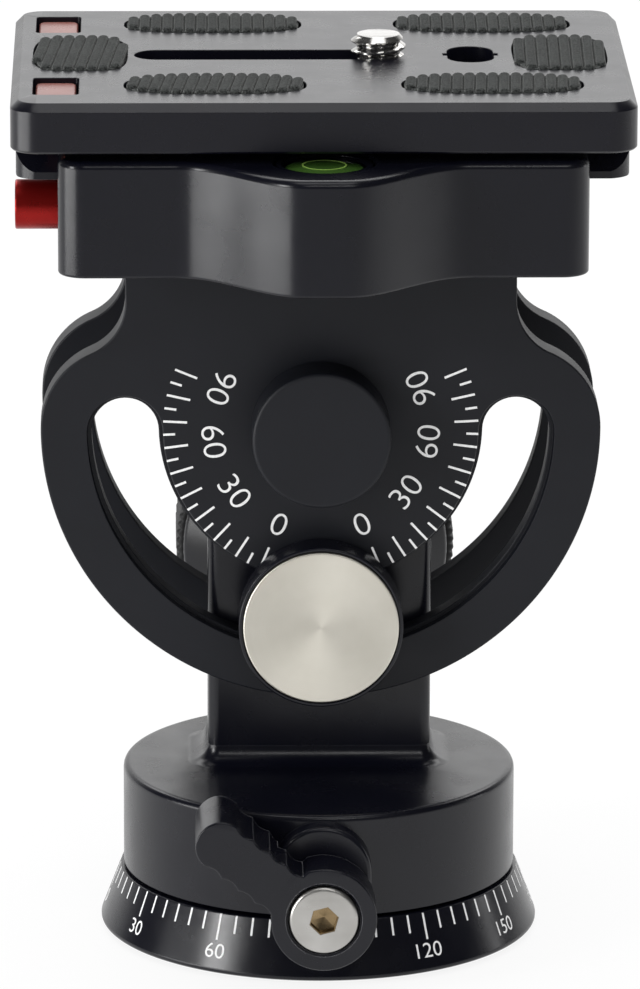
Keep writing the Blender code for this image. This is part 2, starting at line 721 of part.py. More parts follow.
def clamp_bolt(finish):
    """The bolt through post and slots, its two guide sleeves, and the cap with the bright disc."""
    place = (0, 0, BOLT_Z)
    cap_back = -FRONT_FACE + GAP
    cap_front = cap_back + CAP_HEIGHT
    disc_room = CAP_DISC_RADIUS + GAP
    disc_back = cap_front + CAP_DISC_PROUD - CAP_DISC_THICKNESS
    head_back = cap_back + GAP
    head_front = head_back + BOLT_HEAD_HEIGHT
    profile = [
        (disc_room, cap_front),
        (CAP_RADIUS - FINE_EDGE, cap_front),
        (CAP_RADIUS, cap_front - FINE_EDGE),
        (CAP_RADIUS, cap_back + FINE_EDGE),
        (CAP_RADIUS - FINE_EDGE, cap_back),
        (BOLT_HEAD_RADIUS + GAP, cap_back),
        (BOLT_HEAD_RADIUS + GAP, head_front + GAP),
        (0, head_front + GAP),
        (0, disc_back - GAP),
        (disc_room, disc_back - GAP),
    ]
    shape = [profile[-2], profile[-1]] + profile[:-2]
    cap = face(turned("front_cap", shape, finish["black"], 32), "-Y", place)
    profile = [
        (0, disc_back + CAP_DISC_THICKNESS),
        (CAP_DISC_RADIUS - FINE_EDGE, disc_back + CAP_DISC_THICKNESS),
        (CAP_DISC_RADIUS, disc_back + CAP_DISC_THICKNESS - FINE_EDGE),
        (CAP_DISC_RADIUS, disc_back),
        (0, disc_back),
    ]
    disc = face(turned("cap_disc", profile, finish["bright"], 32), "-Y", place)

    knob_end = KNOB_START + KNOB_NECK_LENGTH + KNOB_FLARE_LENGTH + KNOB_GRIP_LENGTH / 2
    profile = [
        (0, head_front),
        (BOLT_HEAD_RADIUS, head_front),
        (BOLT_HEAD_RADIUS, head_back),
        (BOLT_RADIUS, head_back),
        (BOLT_RADIUS, -knob_end),
        (0, -knob_end),
    ]
    bolt = face(turned("clamp_bolt", profile, finish["steel"], 20), "-Y", place)

    pieces = [cap, disc, bolt]
    sleeve_inner = BOLT_RADIUS + GAP
    for name, low in (("guide_sleeve_front", FRONT_FACE), ("guide_sleeve_rear", REAR_PLATE_FRONT)):
        high = low + PLATE_THICKNESS
        sleeve = ring(name, SLEEVE_RADIUS, sleeve_inner, low, high, finish["steel"], 20)
        pieces.append(face(sleeve, "+Y", place))
    return pieces


def ribbed(centre_radius, depth, ribs):
    """An outline with shallow ribs, two points to a rib."""
    points = []
    for i in range(2 * ribs):
        radius = centre_radius if i % 2 else centre_radius - depth
        angle = math.pi * i / ribs
        points.append((radius * math.cos(angle), radius * math.sin(angle)))
    return points


def tilt_knob(finish):
    """The knob on the bolt's rear end: flared core, ribbed grip, end cap and thrust washer."""
    place = (0, 0, BOLT_Z)
    washer_front = REAR_FACE + GAP
    washer = ring(
        "thrust_washer", THRUST_RADIUS, BOLT_RADIUS + GAP, washer_front,
        washer_front + THRUST_THICKNESS, finish["steel"], 20,
    )
    neck_end = KNOB_START + KNOB_NECK_LENGTH
    flare_end = neck_end + KNOB_FLARE_LENGTH
    grip_front = flare_end + KNOB_FRONT_LIP + GAP
    grip_back = grip_front + KNOB_GRIP_LENGTH
    bolt_room_end = flare_end + KNOB_GRIP_LENGTH / 2 + GAP
    cap_seat = grip_back - KNOB_CAP_THICKNESS
    lip_radius = KNOB_RADIUS - KNOB_RIB_DEPTH
    profile = [
        (0, cap_seat),
        (KNOB_CAP_RADIUS + GAP, cap_seat),
        (KNOB_CAP_RADIUS + GAP, grip_back),
        (KNOB_CORE_RADIUS, grip_back),
        (KNOB_CORE_RADIUS, grip_front - GAP),
        (lip_radius - EDGE, grip_front - GAP),
        (lip_radius - EDGE, flare_end),
        (KNOB_NECK_RADIUS, neck_end),
        (KNOB_NECK_RADIUS, KNOB_START),
        (BOLT_RADIUS + GAP, KNOB_START),
        (BOLT_RADIUS + GAP, bolt_room_end),
        (0, bolt_room_end),
    ]
    core = turned("tilt_knob_core", profile, finish["black"], 36)
    outlines = [
        ribbed(KNOB_RADIUS, KNOB_RIB_DEPTH, KNOB_RIBS),
        circle((0, 0), KNOB_CORE_RADIUS + GAP, 36),
    ]
    grip = flat("tilt_knob_grip", outlines, grip_front, grip_back, finish["rubber"])
    cap_low = cap_seat + GAP
    cap_high = cap_low + KNOB_CAP_THICKNESS
    profile = [
        (0, cap_high),
        (KNOB_CAP_RADIUS - EDGE, cap_high),
        (KNOB_CAP_RADIUS, cap_high - EDGE),
        (KNOB_CAP_RADIUS, cap_low),
        (0, cap_low),
    ]
    cap = turned("tilt_knob_cap", profile, finish["black"], 32)
    pieces = [washer, core, grip, cap]
    for piece in pieces:
        face(piece, "+Y", place)
    return pieces


def lever_outline():
    """The lever from the front, about its own axis: round hub, then an arm with scalloped sides."""
    along = (math.cos(LEVER_ARM_ANGLE), math.sin(LEVER_ARM_ANGLE))
    across = (along[1], -along[0])
    half = LEVER_ARM_WIDTH / 2
    scallop_length = (LEVER_ARM_REACH - LEVER_ARM_START - LEVER_TIP_RADIUS) / LEVER_SCALLOPS
    side = []
    points_per_scallop = 6
    for i in range(LEVER_SCALLOPS * points_per_scallop + 1):
        share = i / points_per_scallop
        dip = LEVER_SCALLOP * abs(math.sin(math.pi * share))
        side.append((LEVER_ARM_START + scallop_length * share, half - dip))
    tip_middle = (LEVER_ARM_REACH - LEVER_TIP_RADIUS, half - LEVER_TIP_RADIUS)
    tip = arc(tip_middle, LEVER_TIP_RADIUS, math.pi / 2, 0, 5)
    upper = side + tip[1:]
    lower = [(distance, -offset) for distance, offset in reversed(upper)]
    arm = []
    for distance, offset in upper + lower:
        lowered = offset - LEVER_ARM_DROP
        x = along[0] * distance + across[0] * lowered
        z = along[1] * distance + across[1] * lowered
        arm.append((x, z))
    return arm


def pan_lever(finish):
    """The lever that locks the pan, and its screw."""
    place = (0, 0, LEVER_Z)
    lever = flat("pan_lever", [lever_outline()], LEVER_ARM_BACK, LEVER_FRONT, finish["black"])
    face(lever, "-Y", place)
    hub = cylinder("lever_hub_shape", LEVER_HUB_RADIUS, LEVER_BACK, LEVER_FRONT, None, 24)
    face(hub, "-Y", place)
    join(lever, hub)
    keep_out = cylinder("lever_keep_out", LEVER_KEEP_OUT, 0, LEVER_BACK, None, 24)
    face(keep_out, "-Y", place)
    boss_room = face(flat("boss_room", [boss_outline(2 * GAP)], 0, LEVER_BACK), "-Y")
    drum_room_top = DRUM_TOP + LEVER_ARM_REACH
    drum_room = cylinder("drum_room", DRUM_RADIUS + LEVER_DRUM_ROOM, 0, drum_room_top, None, 48)
    head_back = LEVER_FRONT + LEVER_SCREW_PROUD - LEVER_SCREW_HEAD_HEIGHT
    profile = [
        (0, LEVER_FRONT + OVERRUN),
        (LEVER_SCREW_HEAD_RADIUS + GAP, LEVER_FRONT + OVERRUN),
        (LEVER_SCREW_HEAD_RADIUS + GAP, head_back - GAP),
        (LEVER_SCREW_RADIUS + GAP, head_back - GAP),
        (LEVER_SCREW_RADIUS + GAP, 0),
        (0, 0),
    ]
    screw_room = face(turned("lever_screw_room", profile, None, 24), "-Y", place)
    cut(lever, keep_out, boss_room, drum_room, screw_room)

    head_front = head_back + LEVER_SCREW_HEAD_HEIGHT
    reach = LEVER_FRONT - LEVER_SCREW_REACH
    profile = [
        (0, head_front),
        (LEVER_SCREW_HEAD_RADIUS - EDGE, head_front),
        (LEVER_SCREW_HEAD_RADIUS, head_front - EDGE),
        (LEVER_SCREW_HEAD_RADIUS, head_back),
        (LEVER_SCREW_RADIUS, head_back),
        (LEVER_SCREW_RADIUS, reach),
        (0, reach),
    ]
    screw = face(turned("lever_screw", profile, finish["steel"], 24), "-Y", place)
    recess_floor = head_front - LEVER_HEX_DEPTH
    recess = flat("lever_screw_hex", [hexagon(LEVER_HEX)], recess_floor, head_front + OVERRUN)
    cut(screw, face(recess, "-Y", place))
    return [lever, screw]


def slot_outline(half_width):
    """The arc slot about the hub, from one side under it to the other."""
    steps = 24
    bottom = -math.pi / 2
    low = bottom - SLOT_END_ANGLE
    high = bottom + SLOT_END_ANGLE
    outer = arc((0, HUB_Z), SLOT_RADIUS + half_width, low, high, steps)
    inner = arc((0, HUB_Z), SLOT_RADIUS - half_width, high, low, steps)
    right = (SLOT_RADIUS * math.cos(high), HUB_Z + SLOT_RADIUS * math.sin(high))
    left = (SLOT_RADIUS * math.cos(low), HUB_Z + SLOT_RADIUS * math.sin(low))
    right_end = arc(right, half_width, high, high + math.pi, 8)[1:-1]
    left_end = arc(left, half_width, low + math.pi, low + math.tau, 8)[1:-1]
    return outer + right_end + inner + left_end


def arc_plate_outline():
    """A plate from the front: neck, coved shoulders, and the round edge about the hub."""
    shoulder = ARC_RADIUS - SLOT_RADIUS
    reach = shoulder + NECK_FILLET
    cove_x = NECK_HALF_WIDTH + NECK_FILLET
    rise = math.sqrt(reach ** 2 - (cove_x - SLOT_RADIUS) ** 2)
    meet = math.atan2(rise, cove_x - SLOT_RADIUS)
    right = [(NECK_HALF_WIDTH, PLATE_TOP)]
    right += arc((cove_x, HUB_Z + rise), NECK_FILLET, math.pi, math.pi + meet, 5)
    right += arc((SLOT_RADIUS, HUB_Z), shoulder, meet, 0, 5)[1:]
    round_edge = arc((0, HUB_Z), ARC_RADIUS, 0, -math.pi, 40)[1:-1]
    left = [(-x, z) for x, z in reversed(right)]
    return right + round_edge + left


def bracket_plates(finish):
    """The two arc plates with the tilt shaft between them and a cap over each end of it."""
    pieces = []
    front_end = FRONT_FACE - OVERRUN
    rear_end = REAR_FACE + OVERRUN
    hub_hole = cylinder("hub_hole", SHAFT_RADIUS + GAP, front_end, rear_end, None, 24)
    face(hub_hole, "+Y", (0, 0, HUB_Z))
    slot = face(flat("plate_slot", [slot_outline(SLOT_HALF_WIDTH)], -rear_end, -front_end), "-Y")
    layers = (
        ("front_plate", -FRONT_PLATE_BACK, -FRONT_FACE, -FRONT_FACE),
        ("rear_plate", -REAR_FACE, -REAR_PLATE_FRONT, -REAR_FACE),
    )
    for name, low, high, outside in layers:
        plate = face(flat(name, [arc_plate_outline()], low, high, finish["charcoal"]), "-Y")
        round_edges(plate, FINE_EDGE, 1, math.radians(60))
        ledge_low = outside - SLOT_LEDGE_DEPTH
        ledge_high = outside + SLOT_LEDGE_DEPTH
        ledge_outline = slot_outline(SLOT_HALF_WIDTH + SLOT_LEDGE)
        ledge = flat(f"{name}_ledge", [ledge_outline], ledge_low, ledge_high)
        cut(plate, hub_hole, slot, face(ledge, "-Y"))
        middle_y = -(low + high) / 2
        for number, side in enumerate((-1, 1)):
            place = (side * BRACKET_SCREW_SPACING / 2, middle_y, 0)
            depth = CLAMP_FLOOR - BRACKET_SCREW_SUNK - BRACKET_SCREW_LENGTH - GAP
            hole = cylinder(
                f"{name}_hole_{number}", BRACKET_SCREW_RADIUS + GAP, depth, PLATE_TOP + OVERRUN,
                None, 12,
            )
            cut(plate, face(hole, "+Z", place))
        pieces.append(plate)

    cap_depth = HUB_CAP_HEIGHT - 2 * EDGE
    shaft_front = FRONT_FACE - cap_depth / 2
    shaft_back = REAR_FACE + REAR_HUB_CAP_HEIGHT / 2
    shaft = cylinder("tilt_shaft", SHAFT_RADIUS, shaft_front, shaft_back, finish["steel"], 20)
    pieces.append(face(shaft, "+Y", (0, 0, HUB_Z)))
    caps = (
        ("front_hub_cap", "-Y", -FRONT_FACE + GAP, HUB_CAP_HEIGHT - GAP, -shaft_front + GAP),
        ("rear_hub_cap", "+Y", REAR_FACE + GAP, REAR_HUB_CAP_HEIGHT - GAP, shaft_back + GAP),
    )
    for name, direction, start_height, height, room_end in caps:
        end_height = start_height + height
        profile = [
            (0, end_height),
            (HUB_CAP_RADIUS - EDGE, end_height),
            (HUB_CAP_RADIUS, end_height - EDGE),
            (HUB_CAP_RADIUS, start_height),
            (SHAFT_RADIUS + GAP, start_height),
            (SHAFT_RADIUS + GAP, room_end),
            (0, room_end),
        ]
        pieces.append(face(turned(name, profile, finish["charcoal"], 32), direction, (0, 0, HUB_Z)))
    return pieces


def nose_curve():
    """The clamp's front edge from left to right in XY, with the nose as a smooth wave."""
    front = UPPER_Y - CLAMP_FRONT
    points = []
    for side in (-1, 1):
        half = []
        for i in range(NOSE_STEPS + 1):
            share = i / NOSE_STEPS
            x = NOSE_HALF_WIDTH + (NOSE_FLAT_HALF_WIDTH - NOSE_HALF_WIDTH) * share
            y = front - NOSE_REACH * (1 - math.cos(math.pi * share)) / 2
            half.append((side * x, y))
        points += half if side < 0 else list(reversed(half))
    return points


def clamp_outline():
    """The fixed part of the clamp from above."""
    front = UPPER_Y - CLAMP_FRONT
    rear = UPPER_Y + CLAMP_REAR
    corner = CLAMP_CORNER
    left = arc((-CLAMP_HALF_LENGTH + corner, front + corner), corner, math.pi, 3 * math.pi / 2, 5)
    right = arc((CLAMP_HALF_LENGTH - corner, front + corner), corner, -math.pi / 2, 0, 5)
    return left + nose_curve() + right + [(CLAMP_HALF_LENGTH, rear), (-CLAMP_HALF_LENGTH, rear)]


def dovetail_section(grow):
    """The camera plate's rail from its end, as (y, z) points, grown to make room for it."""
    low = RAIL_BOTTOM - grow
    foot = RAIL_BOTTOM + DOVETAIL_FOOT + grow
    waist = foot + DOVETAIL_FLANK
    wide = DOVETAIL_HALF_WIDTH + grow
    narrow = wide - DOVETAIL_FLANK
    top = SLAB_BOTTOM + OVERRUN
    half = [(wide, low), (wide, foot), (narrow, waist), (narrow, top)]
    other = [(-y, z) for y, z in reversed(half)]
    return [(UPPER_Y + y, z) for y, z in half + other]


def along_x(name, section, half_length, finish=None):
    """A straight piece along X from a (y, z) section, symmetric about the middle."""
    turned_section = [(-z, y) for y, z in section]
    return face(flat(name, [turned_section], -half_length, half_length, finish), "+X")


def clamp_body(finish):
    """The clamp's fixed part, with the level in its nose and the screws that hold the plates."""
    body = flat("clamp_body", [clamp_outline()], CLAMP_BOTTOM, CLAMP_TOP, finish["black"])
    round_edges(body, EDGE, 1, math.radians(60))
    channel = along_x("rail_room", dovetail_section(GAP), CLAMP_HALF_LENGTH + OVERRUN)
    level_place = (0, UPPER_Y - LEVEL_Y, 0)
    level_low = CLAMP_TOP - LEVEL_SUNK - LEVEL_DEPTH
    level_room = cylinder(
        "level_room", LEVEL_RADIUS + GAP, level_low - GAP, CLAMP_TOP + OVERRUN, None, 28
    )
    cut(body, channel, face(level_room, "+Z", level_place))

    pieces = [body]
    head_top = CLAMP_FLOOR - BRACKET_SCREW_SUNK
    head_low = head_top - BRACKET_SCREW_HEAD_HEIGHT
    number = 0
    for plate_y in (FRONT_PLATE_BACK - PLATE_THICKNESS / 2, REAR_PLATE_FRONT + PLATE_THICKNESS / 2):
        for side in (-1, 1):
            number += 1
            place = (side * BRACKET_SCREW_SPACING / 2, plate_y, 0)
            profile = [
                (0, head_top),
                (BRACKET_SCREW_HEAD_RADIUS, head_top),
                (BRACKET_SCREW_HEAD_RADIUS, head_low),
                (BRACKET_SCREW_RADIUS, head_low),
                (BRACKET_SCREW_RADIUS, head_top - BRACKET_SCREW_LENGTH),
                (0, head_top - BRACKET_SCREW_LENGTH),
            ]
            screw = turned(f"bracket_screw_{number}", profile, finish["steel"], 12)
            recess = flat(
                f"bracket_screw_hex_{number}", [hexagon(BRACKET_SCREW_RADIUS)],
                head_top - BRACKET_SCREW_HEAD_HEIGHT / 2, head_top + OVERRUN,
            )
            cut(face(screw, "+Z", place), face(recess, "+Z", place))
            room = [
                (0, CLAMP_TOP),
                (BRACKET_SCREW_HEAD_RADIUS + GAP, CLAMP_TOP),
                (BRACKET_SCREW_HEAD_RADIUS + GAP, head_low - GAP),
                (BRACKET_SCREW_RADIUS + GAP, head_low - GAP),
                (BRACKET_SCREW_RADIUS + GAP, CLAMP_BOTTOM - OVERRUN),
                (0, CLAMP_BOTTOM - OVERRUN),
            ]
            cut(body, face(turned(f"bracket_screw_room_{number}", room, None, 12), "+Z", place))
            pieces.append(screw)

    screw_room = cylinder(
        "clamp_screw_room", CLAMP_SCREW_RADIUS + GAP, UPPER_Y + JAW_REAR - CLAMP_SCREW_REACH - 4 * GAP,
        UPPER_Y + CLAMP_REAR + OVERRUN, None, 16,
    )
    cut(body, face(screw_room, "+Y", (0, 0, JAW_AXIS_Z)))
    pieces += jaw_pins(body, finish)

    level_top = CLAMP_TOP - LEVEL_SUNK
    inner = LEVEL_RADIUS - LEVEL_WALL
    floor = level_low + LEVEL_FLOOR
    profile = [
        (inner, level_top),
        (LEVEL_RADIUS, level_top),
        (LEVEL_RADIUS, level_low),
        (0, level_low),
        (0, floor),
        (inner, floor),
    ]
    shape = [profile[-2], profile[-1]] + profile[:-2]
    cup = face(turned("level_cup", shape, finish["black"], 28), "+Z", level_place)
    vial_radius = inner - GAP
    bubble_top = level_top - GAP
    bubble_room = BUBBLE_RADIUS + GAP
    bubble_floor = bubble_top - BUBBLE_THICKNESS - GAP
    profile = [
        (0, bubble_floor),
        (bubble_room, bubble_floor),
        (bubble_room, bubble_top),
        (vial_radius - FINE_EDGE, bubble_top),
        (vial_radius, bubble_top - FINE_EDGE),
        (vial_radius, floor + GAP),
        (0, floor + GAP),
    ]
    vial = face(turned("level_vial", profile, finish["level"], 28), "+Z", level_place)
    bubble_low = bubble_top - BUBBLE_THICKNESS
    bubble = cylinder("level_bubble", BUBBLE_RADIUS, bubble_low, bubble_top, finish["bubble"], 16)
    pieces += [cup, vial, face(bubble, "+Z", level_place)]
    return pieces


def jaw_pins(body, finish):
    """The two pins that the jaw slides on, fixed in the clamp body."""
    pieces = []
    spring_room = JAW_SPRING_RADIUS + JAW_SPRING_WIRE + GAP
    rear = UPPER_Y + CLAMP_REAR
    for name, side in (("left", -1), ("right", 1)):
        place = (side * JAW_PIN_SPACING / 2, 0, JAW_AXIS_Z)
        pin_back = UPPER_Y + JAW_REAR - 2 * EDGE
        pin_front = UPPER_Y + JAW_PIN_FRONT
        pin = cylinder(
            f"jaw_guide_pin_{name}", JAW_PIN_RADIUS, pin_front, pin_back, finish["steel"], 14
        )
        pieces.append(face(pin, "+Y", place))
        hole = cylinder(
            f"jaw_pin_hole_{name}", JAW_PIN_RADIUS + GAP, pin_front - GAP, rear + OVERRUN, None, 14
        )
        seat_floor = rear - JAW_SPRING_LENGTH / 2 - GAP
        seat = cylinder(f"jaw_spring_seat_{name}", spring_room, seat_floor, rear + OVERRUN, None, 14)
        cut(body, face(hole, "+Y", place), face(seat, "+Y", place))
    return pieces


def moving_jaw(finish):
    """The rear jaw with its springs. It slides on the two pins."""
    front = UPPER_Y + JAW_FRONT
    rear = UPPER_Y + JAW_REAR
    corner = CLAMP_CORNER
    right = arc((CLAMP_HALF_LENGTH - corner, rear - corner), corner, 0, math.pi / 2, 5)
    left = arc((-CLAMP_HALF_LENGTH + corner, rear - corner), corner, math.pi / 2, math.pi, 5)
    outline = [(-CLAMP_HALF_LENGTH, front), (CLAMP_HALF_LENGTH, front)] + right + left
    jaw = flat("moving_jaw", [outline], CLAMP_BOTTOM, CLAMP_TOP, finish["black"])
    round_edges(jaw, EDGE, 1, math.radians(60))
    channel = along_x("jaw_rail_room", dovetail_section(GAP), CLAMP_HALF_LENGTH + OVERRUN)
    middle = (0, 0, JAW_AXIS_Z)
    bore = cylinder(
        "jaw_screw_hole", CLAMP_SCREW_RADIUS + GAP, front - OVERRUN, rear + OVERRUN, None, 16
    )
    cut(jaw, channel, face(bore, "+Y", middle))
    pieces = [jaw]
    spring_room = JAW_SPRING_RADIUS + JAW_SPRING_WIRE + GAP
    spring_start = UPPER_Y + CLAMP_REAR - JAW_SPRING_LENGTH / 2
    for name, side in (("left", -1), ("right", 1)):
        place = (side * JAW_PIN_SPACING / 2, 0, JAW_AXIS_Z)
        hole = cylinder(
            f"jaw_pin_room_{name}", JAW_PIN_RADIUS + GAP, front - OVERRUN, rear + OVERRUN, None, 14
        )
        seat = cylinder(
            f"jaw_spring_room_{name}", spring_room, front - OVERRUN,
            spring_start + JAW_SPRING_LENGTH + GAP, None, 14,
        )
        cut(jaw, face(hole, "+Y", place), face(seat, "+Y", place))
        spring = coil(
            f"jaw_spring_{name}", JAW_SPRING_RADIUS, JAW_SPRING_WIRE, JAW_SPRING_LENGTH,
            JAW_SPRING_CURLS, finish["steel"],
        )
        pieces.append(face(spring, "+Y", (place[0], spring_start, place[2])))
    return pieces


def clamp_knob(finish):
    """The knob behind the jaw, its grip and its screw."""
    place = (0, 0, JAW_AXIS_Z)
    start_y = UPPER_Y + JAW_REAR + GAP
    neck_end = start_y + CLAMP_KNOB_NECK_LENGTH
    grip_front = neck_end + KNOB_FRONT_LIP + GAP
    end = grip_front + CLAMP_KNOB_LENGTH
    screw_end = neck_end + CLAMP_KNOB_LENGTH / 2
    lip_radius = CLAMP_KNOB_RADIUS - KNOB_RIB_DEPTH
    profile = [
        (0, end),
        (CLAMP_KNOB_CORE_RADIUS - EDGE, end),
        (CLAMP_KNOB_CORE_RADIUS, end - EDGE),
        (CLAMP_KNOB_CORE_RADIUS, grip_front - GAP),
        (lip_radius, grip_front - GAP),
        (lip_radius, neck_end),
        (CLAMP_KNOB_NECK_RADIUS, neck_end),
        (CLAMP_KNOB_NECK_RADIUS, start_y),
        (CLAMP_SCREW_RADIUS + GAP, start_y),
        (CLAMP_SCREW_RADIUS + GAP, screw_end + GAP),
        (0, screw_end + GAP),
    ]
    core = turned("clamp_knob_core", profile, finish["black"], 28)
    outlines = [
        ribbed(CLAMP_KNOB_RADIUS, KNOB_RIB_DEPTH, CLAMP_KNOB_RIBS),
        circle((0, 0), CLAMP_KNOB_CORE_RADIUS + GAP, 28),
    ]
    grip = flat("clamp_knob_grip", outlines, grip_front, end - EDGE, finish["rubber"])
    screw_start = UPPER_Y + JAW_REAR - CLAMP_SCREW_REACH
    screw = cylinder(
        "clamp_screw", CLAMP_SCREW_RADIUS, screw_start, screw_end, finish["steel"], 16
    )
    pieces = [core, grip, screw]
    for piece in pieces:
        face(piece, "+Y", place)
    return pieces


def safety_button(body, finish):
    """The red button at the clamp's end, its spring, and the pin that it draws down."""
    button_y = UPPER_Y - BUTTON_Y
    place = (0, button_y, JAW_AXIS_Z)
    outer_x = CLAMP_HALF_LENGTH + BUTTON_PROUD
    inner_x = outer_x - BUTTON_LENGTH
    profile = [
        (0, outer_x),
        (BUTTON_RADIUS - EDGE, outer_x),
        (BUTTON_RADIUS, outer_x - EDGE),
        (BUTTON_RADIUS, inner_x),
        (0, inner_x),
    ]
    button = face(turned("safety_button", profile, finish["red"], 24), "-X", place)
    window_outer = -PIN_X - PIN_RADIUS - 2 * GAP - BUTTON_TRAVEL
    window_inner = -PIN_X + PIN_RADIUS + 2 * GAP
    window_half = BUTTON_WINDOW_WIDTH / 2
    window = box(
        "button_window",
        (window_outer, button_y - window_half, JAW_AXIS_Z - 2 * BUTTON_RADIUS),
        (window_inner, button_y + window_half, JAW_AXIS_Z + 2 * BUTTON_RADIUS),
    )
    cut(button, window)
    spring_inner_x = inner_x - GAP - BUTTON_SPRING_LENGTH
    room = cylinder(
        "button_room", BUTTON_RADIUS + GAP, spring_inner_x - GAP, CLAMP_HALF_LENGTH + OVERRUN, None, 20
    )
    pin_place = (-PIN_X, button_y, 0)
    pin_top = CLAMP_FLOOR + PIN_PROUD
    pin_room_floor = PIN_BOTTOM - PIN_DROP - GAP
    pin_room = cylinder("pin_room", PIN_RADIUS + GAP, pin_room_floor, CLAMP_TOP, None, 14)
    cut(body, face(room, "-X", place), face(pin_room, "+Z", pin_place))
    spring = coil(
        "button_spring", BUTTON_SPRING_RADIUS, BUTTON_SPRING_WIRE, BUTTON_SPRING_LENGTH,
        BUTTON_SPRING_CURLS, finish["steel"],
    )
    face(spring, "-X", (-spring_inner_x, button_y, JAW_AXIS_Z))
    profile = [
        (0, pin_top),
        (PIN_RADIUS - FINE_EDGE, pin_top),
        (PIN_RADIUS, pin_top - FINE_EDGE),
        (PIN_RADIUS, PIN_BOTTOM),
        (0, PIN_BOTTOM),
    ]
    pin = face(turned("safety_pin", profile, finish["steel"], 14), "+Z", pin_place)
    return button, spring, pin


def camera_plate(finish):
    """The quick release plate: slab and rail in one, with its slot, recess and windows."""
    front = UPPER_Y - SLAB_FRONT
    rear = UPPER_Y + SLAB_REAR
    outline = rounded_box(SLAB_HALF_LENGTH, front, rear, SLAB_CORNER)
    low = SLAB_BOTTOM + FINE_EDGE - SLAB_EDGE
    plate = flat("camera_plate", [outline], low, SLAB_TOP, finish["plate"])
    round_edges(plate, SLAB_EDGE, 1, math.radians(60))
    below = box(
        "below_slab",
        (-SLAB_LENGTH, front - OVERRUN, RAIL_BOTTOM),
        (SLAB_LENGTH, rear + OVERRUN, SLAB_BOTTOM),
    )
    cut(plate, below)
    section = dovetail_section(0)
    section = [(y, min(z, SLAB_BOTTOM + EDGE)) for y, z in section]
    rail = along_x("rail_shape", section, RAIL_HALF_LENGTH)
    reach = DOVETAIL_HALF_WIDTH
    outline = rounded_box(RAIL_HALF_LENGTH, UPPER_Y - reach, UPPER_Y + reach, RAIL_CORNER)
    rail_limit = flat("rail_limit", [outline], RAIL_BOTTOM - OVERRUN, SLAB_TOP)
    combine(rail, rail_limit, "INTERSECT")
    join(plate, rail)

    cuts = []
    roof = SLAB_TOP - RECESS_ROOF
    outline = rounded_box(
        RECESS_HALF_LENGTH, UPPER_Y - RECESS_HALF_WIDTH, UPPER_Y + RECESS_HALF_WIDTH, SLAB_CORNER
    )
    cuts.append(flat("plate_recess", [outline], RAIL_BOTTOM - OVERRUN, roof))
    low = SLAB_TOP - STOP_WINDOW_FLOOR
    for name, y in (("front", UPPER_Y - STOP_Y), ("rear", UPPER_Y + STOP_Y)):
        half_x = STOP_LENGTH / 2 + GAP
        half_y = STOP_WIDTH / 2 + GAP
        window = rounded_box(half_x, y - half_y, y + half_y, EDGE, 2)
        window = [(x - STOP_X, wy) for x, wy in window]
        cuts.append(flat(f"stop_window_{name}", [window], low, SLAB_TOP + OVERRUN))
        stem_hole = cylinder(
            f"stop_stem_hole_{name}", STOP_STEM_RADIUS + GAP, SLAB_BOTTOM - OVERRUN, SLAB_TOP, None, 16
        )
        outward = 1 if y > UPPER_Y else -1
        cuts.append(face(stem_hole, "+Z", (-STOP_X, y + outward * STOP_WIDTH / 4, 0)))
    half = CAMERA_SLOT_HALF_WIDTH
    slot = arc((CAMERA_SLOT_END, UPPER_Y), half, -math.pi / 2, math.pi / 2, 8)
    slot += arc((-CAMERA_SLOT_START + half, UPPER_Y), half, math.pi / 2, 3 * math.pi / 2, 8)
    cuts.append(flat("camera_slot", [slot], SLAB_BOTTOM, SLAB_TOP + OVERRUN))
    half = CAMERA_HOLE_LENGTH / 2
    hole = rounded_box(CAMERA_HOLE_RADIUS, UPPER_Y - half, UPPER_Y + half, CAMERA_HOLE_RADIUS, 6)
    hole = [(x + CAMERA_HOLE_X, y) for x, y in hole]
    cuts.append(flat("camera_hole", [hole], SLAB_BOTTOM, SLAB_TOP + OVERRUN))
    notch_reach = CAMERA_HOLE_RADIUS + CAMERA_HOLE_NOTCH
    notch_half = CAMERA_HOLE_NOTCH_WIDTH / 2
    notch = box(
        "camera_hole_notch",
        (CAMERA_HOLE_X - notch_reach, UPPER_Y - notch_half, SLAB_TOP - RECESS_ROOF - EDGE),
        (CAMERA_HOLE_X + notch_reach, UPPER_Y + notch_half, SLAB_TOP + OVERRUN),
    )
    cuts.append(notch)
    groove_half = PIN_RADIUS + GAP + GROOVE_TRAVEL
    groove_y = UPPER_Y - BUTTON_Y
    groove = box(
        "pin_groove",
        (-PIN_X - groove_half, groove_y - GROOVE_WIDTH / 2, RAIL_BOTTOM - OVERRUN),
        (-PIN_X + groove_half, groove_y + GROOVE_WIDTH / 2, RAIL_BOTTOM + PIN_PROUD + GAP),
    )
    cuts.append(groove)
    pad_floor = SLAB_TOP + PAD_PROUD - PAD_THICKNESS - GAP
    for name, outline in pad_outlines(GAP).items():
        cuts.append(flat(f"{name}_pocket", [outline], pad_floor, SLAB_TOP + OVERRUN))
    cut(plate, *cuts)
    return [plate]


def lens_outline(length, width, grow):
    """A long pad from above: two flat arcs with blunt ends."""
    end_power = 0.9
    side_power = 1.15
    half_length = length / 2 + grow
    half_width = width / 2 + grow
    points = []
    steps = 16
    for i in range(steps):
        angle = math.tau * i / steps
        x = half_length * math.copysign(abs(math.cos(angle)) ** end_power, math.cos(angle))
        y = half_width * math.copysign(abs(math.sin(angle)) ** side_power, math.sin(angle))
        points.append((x, y))
    return points


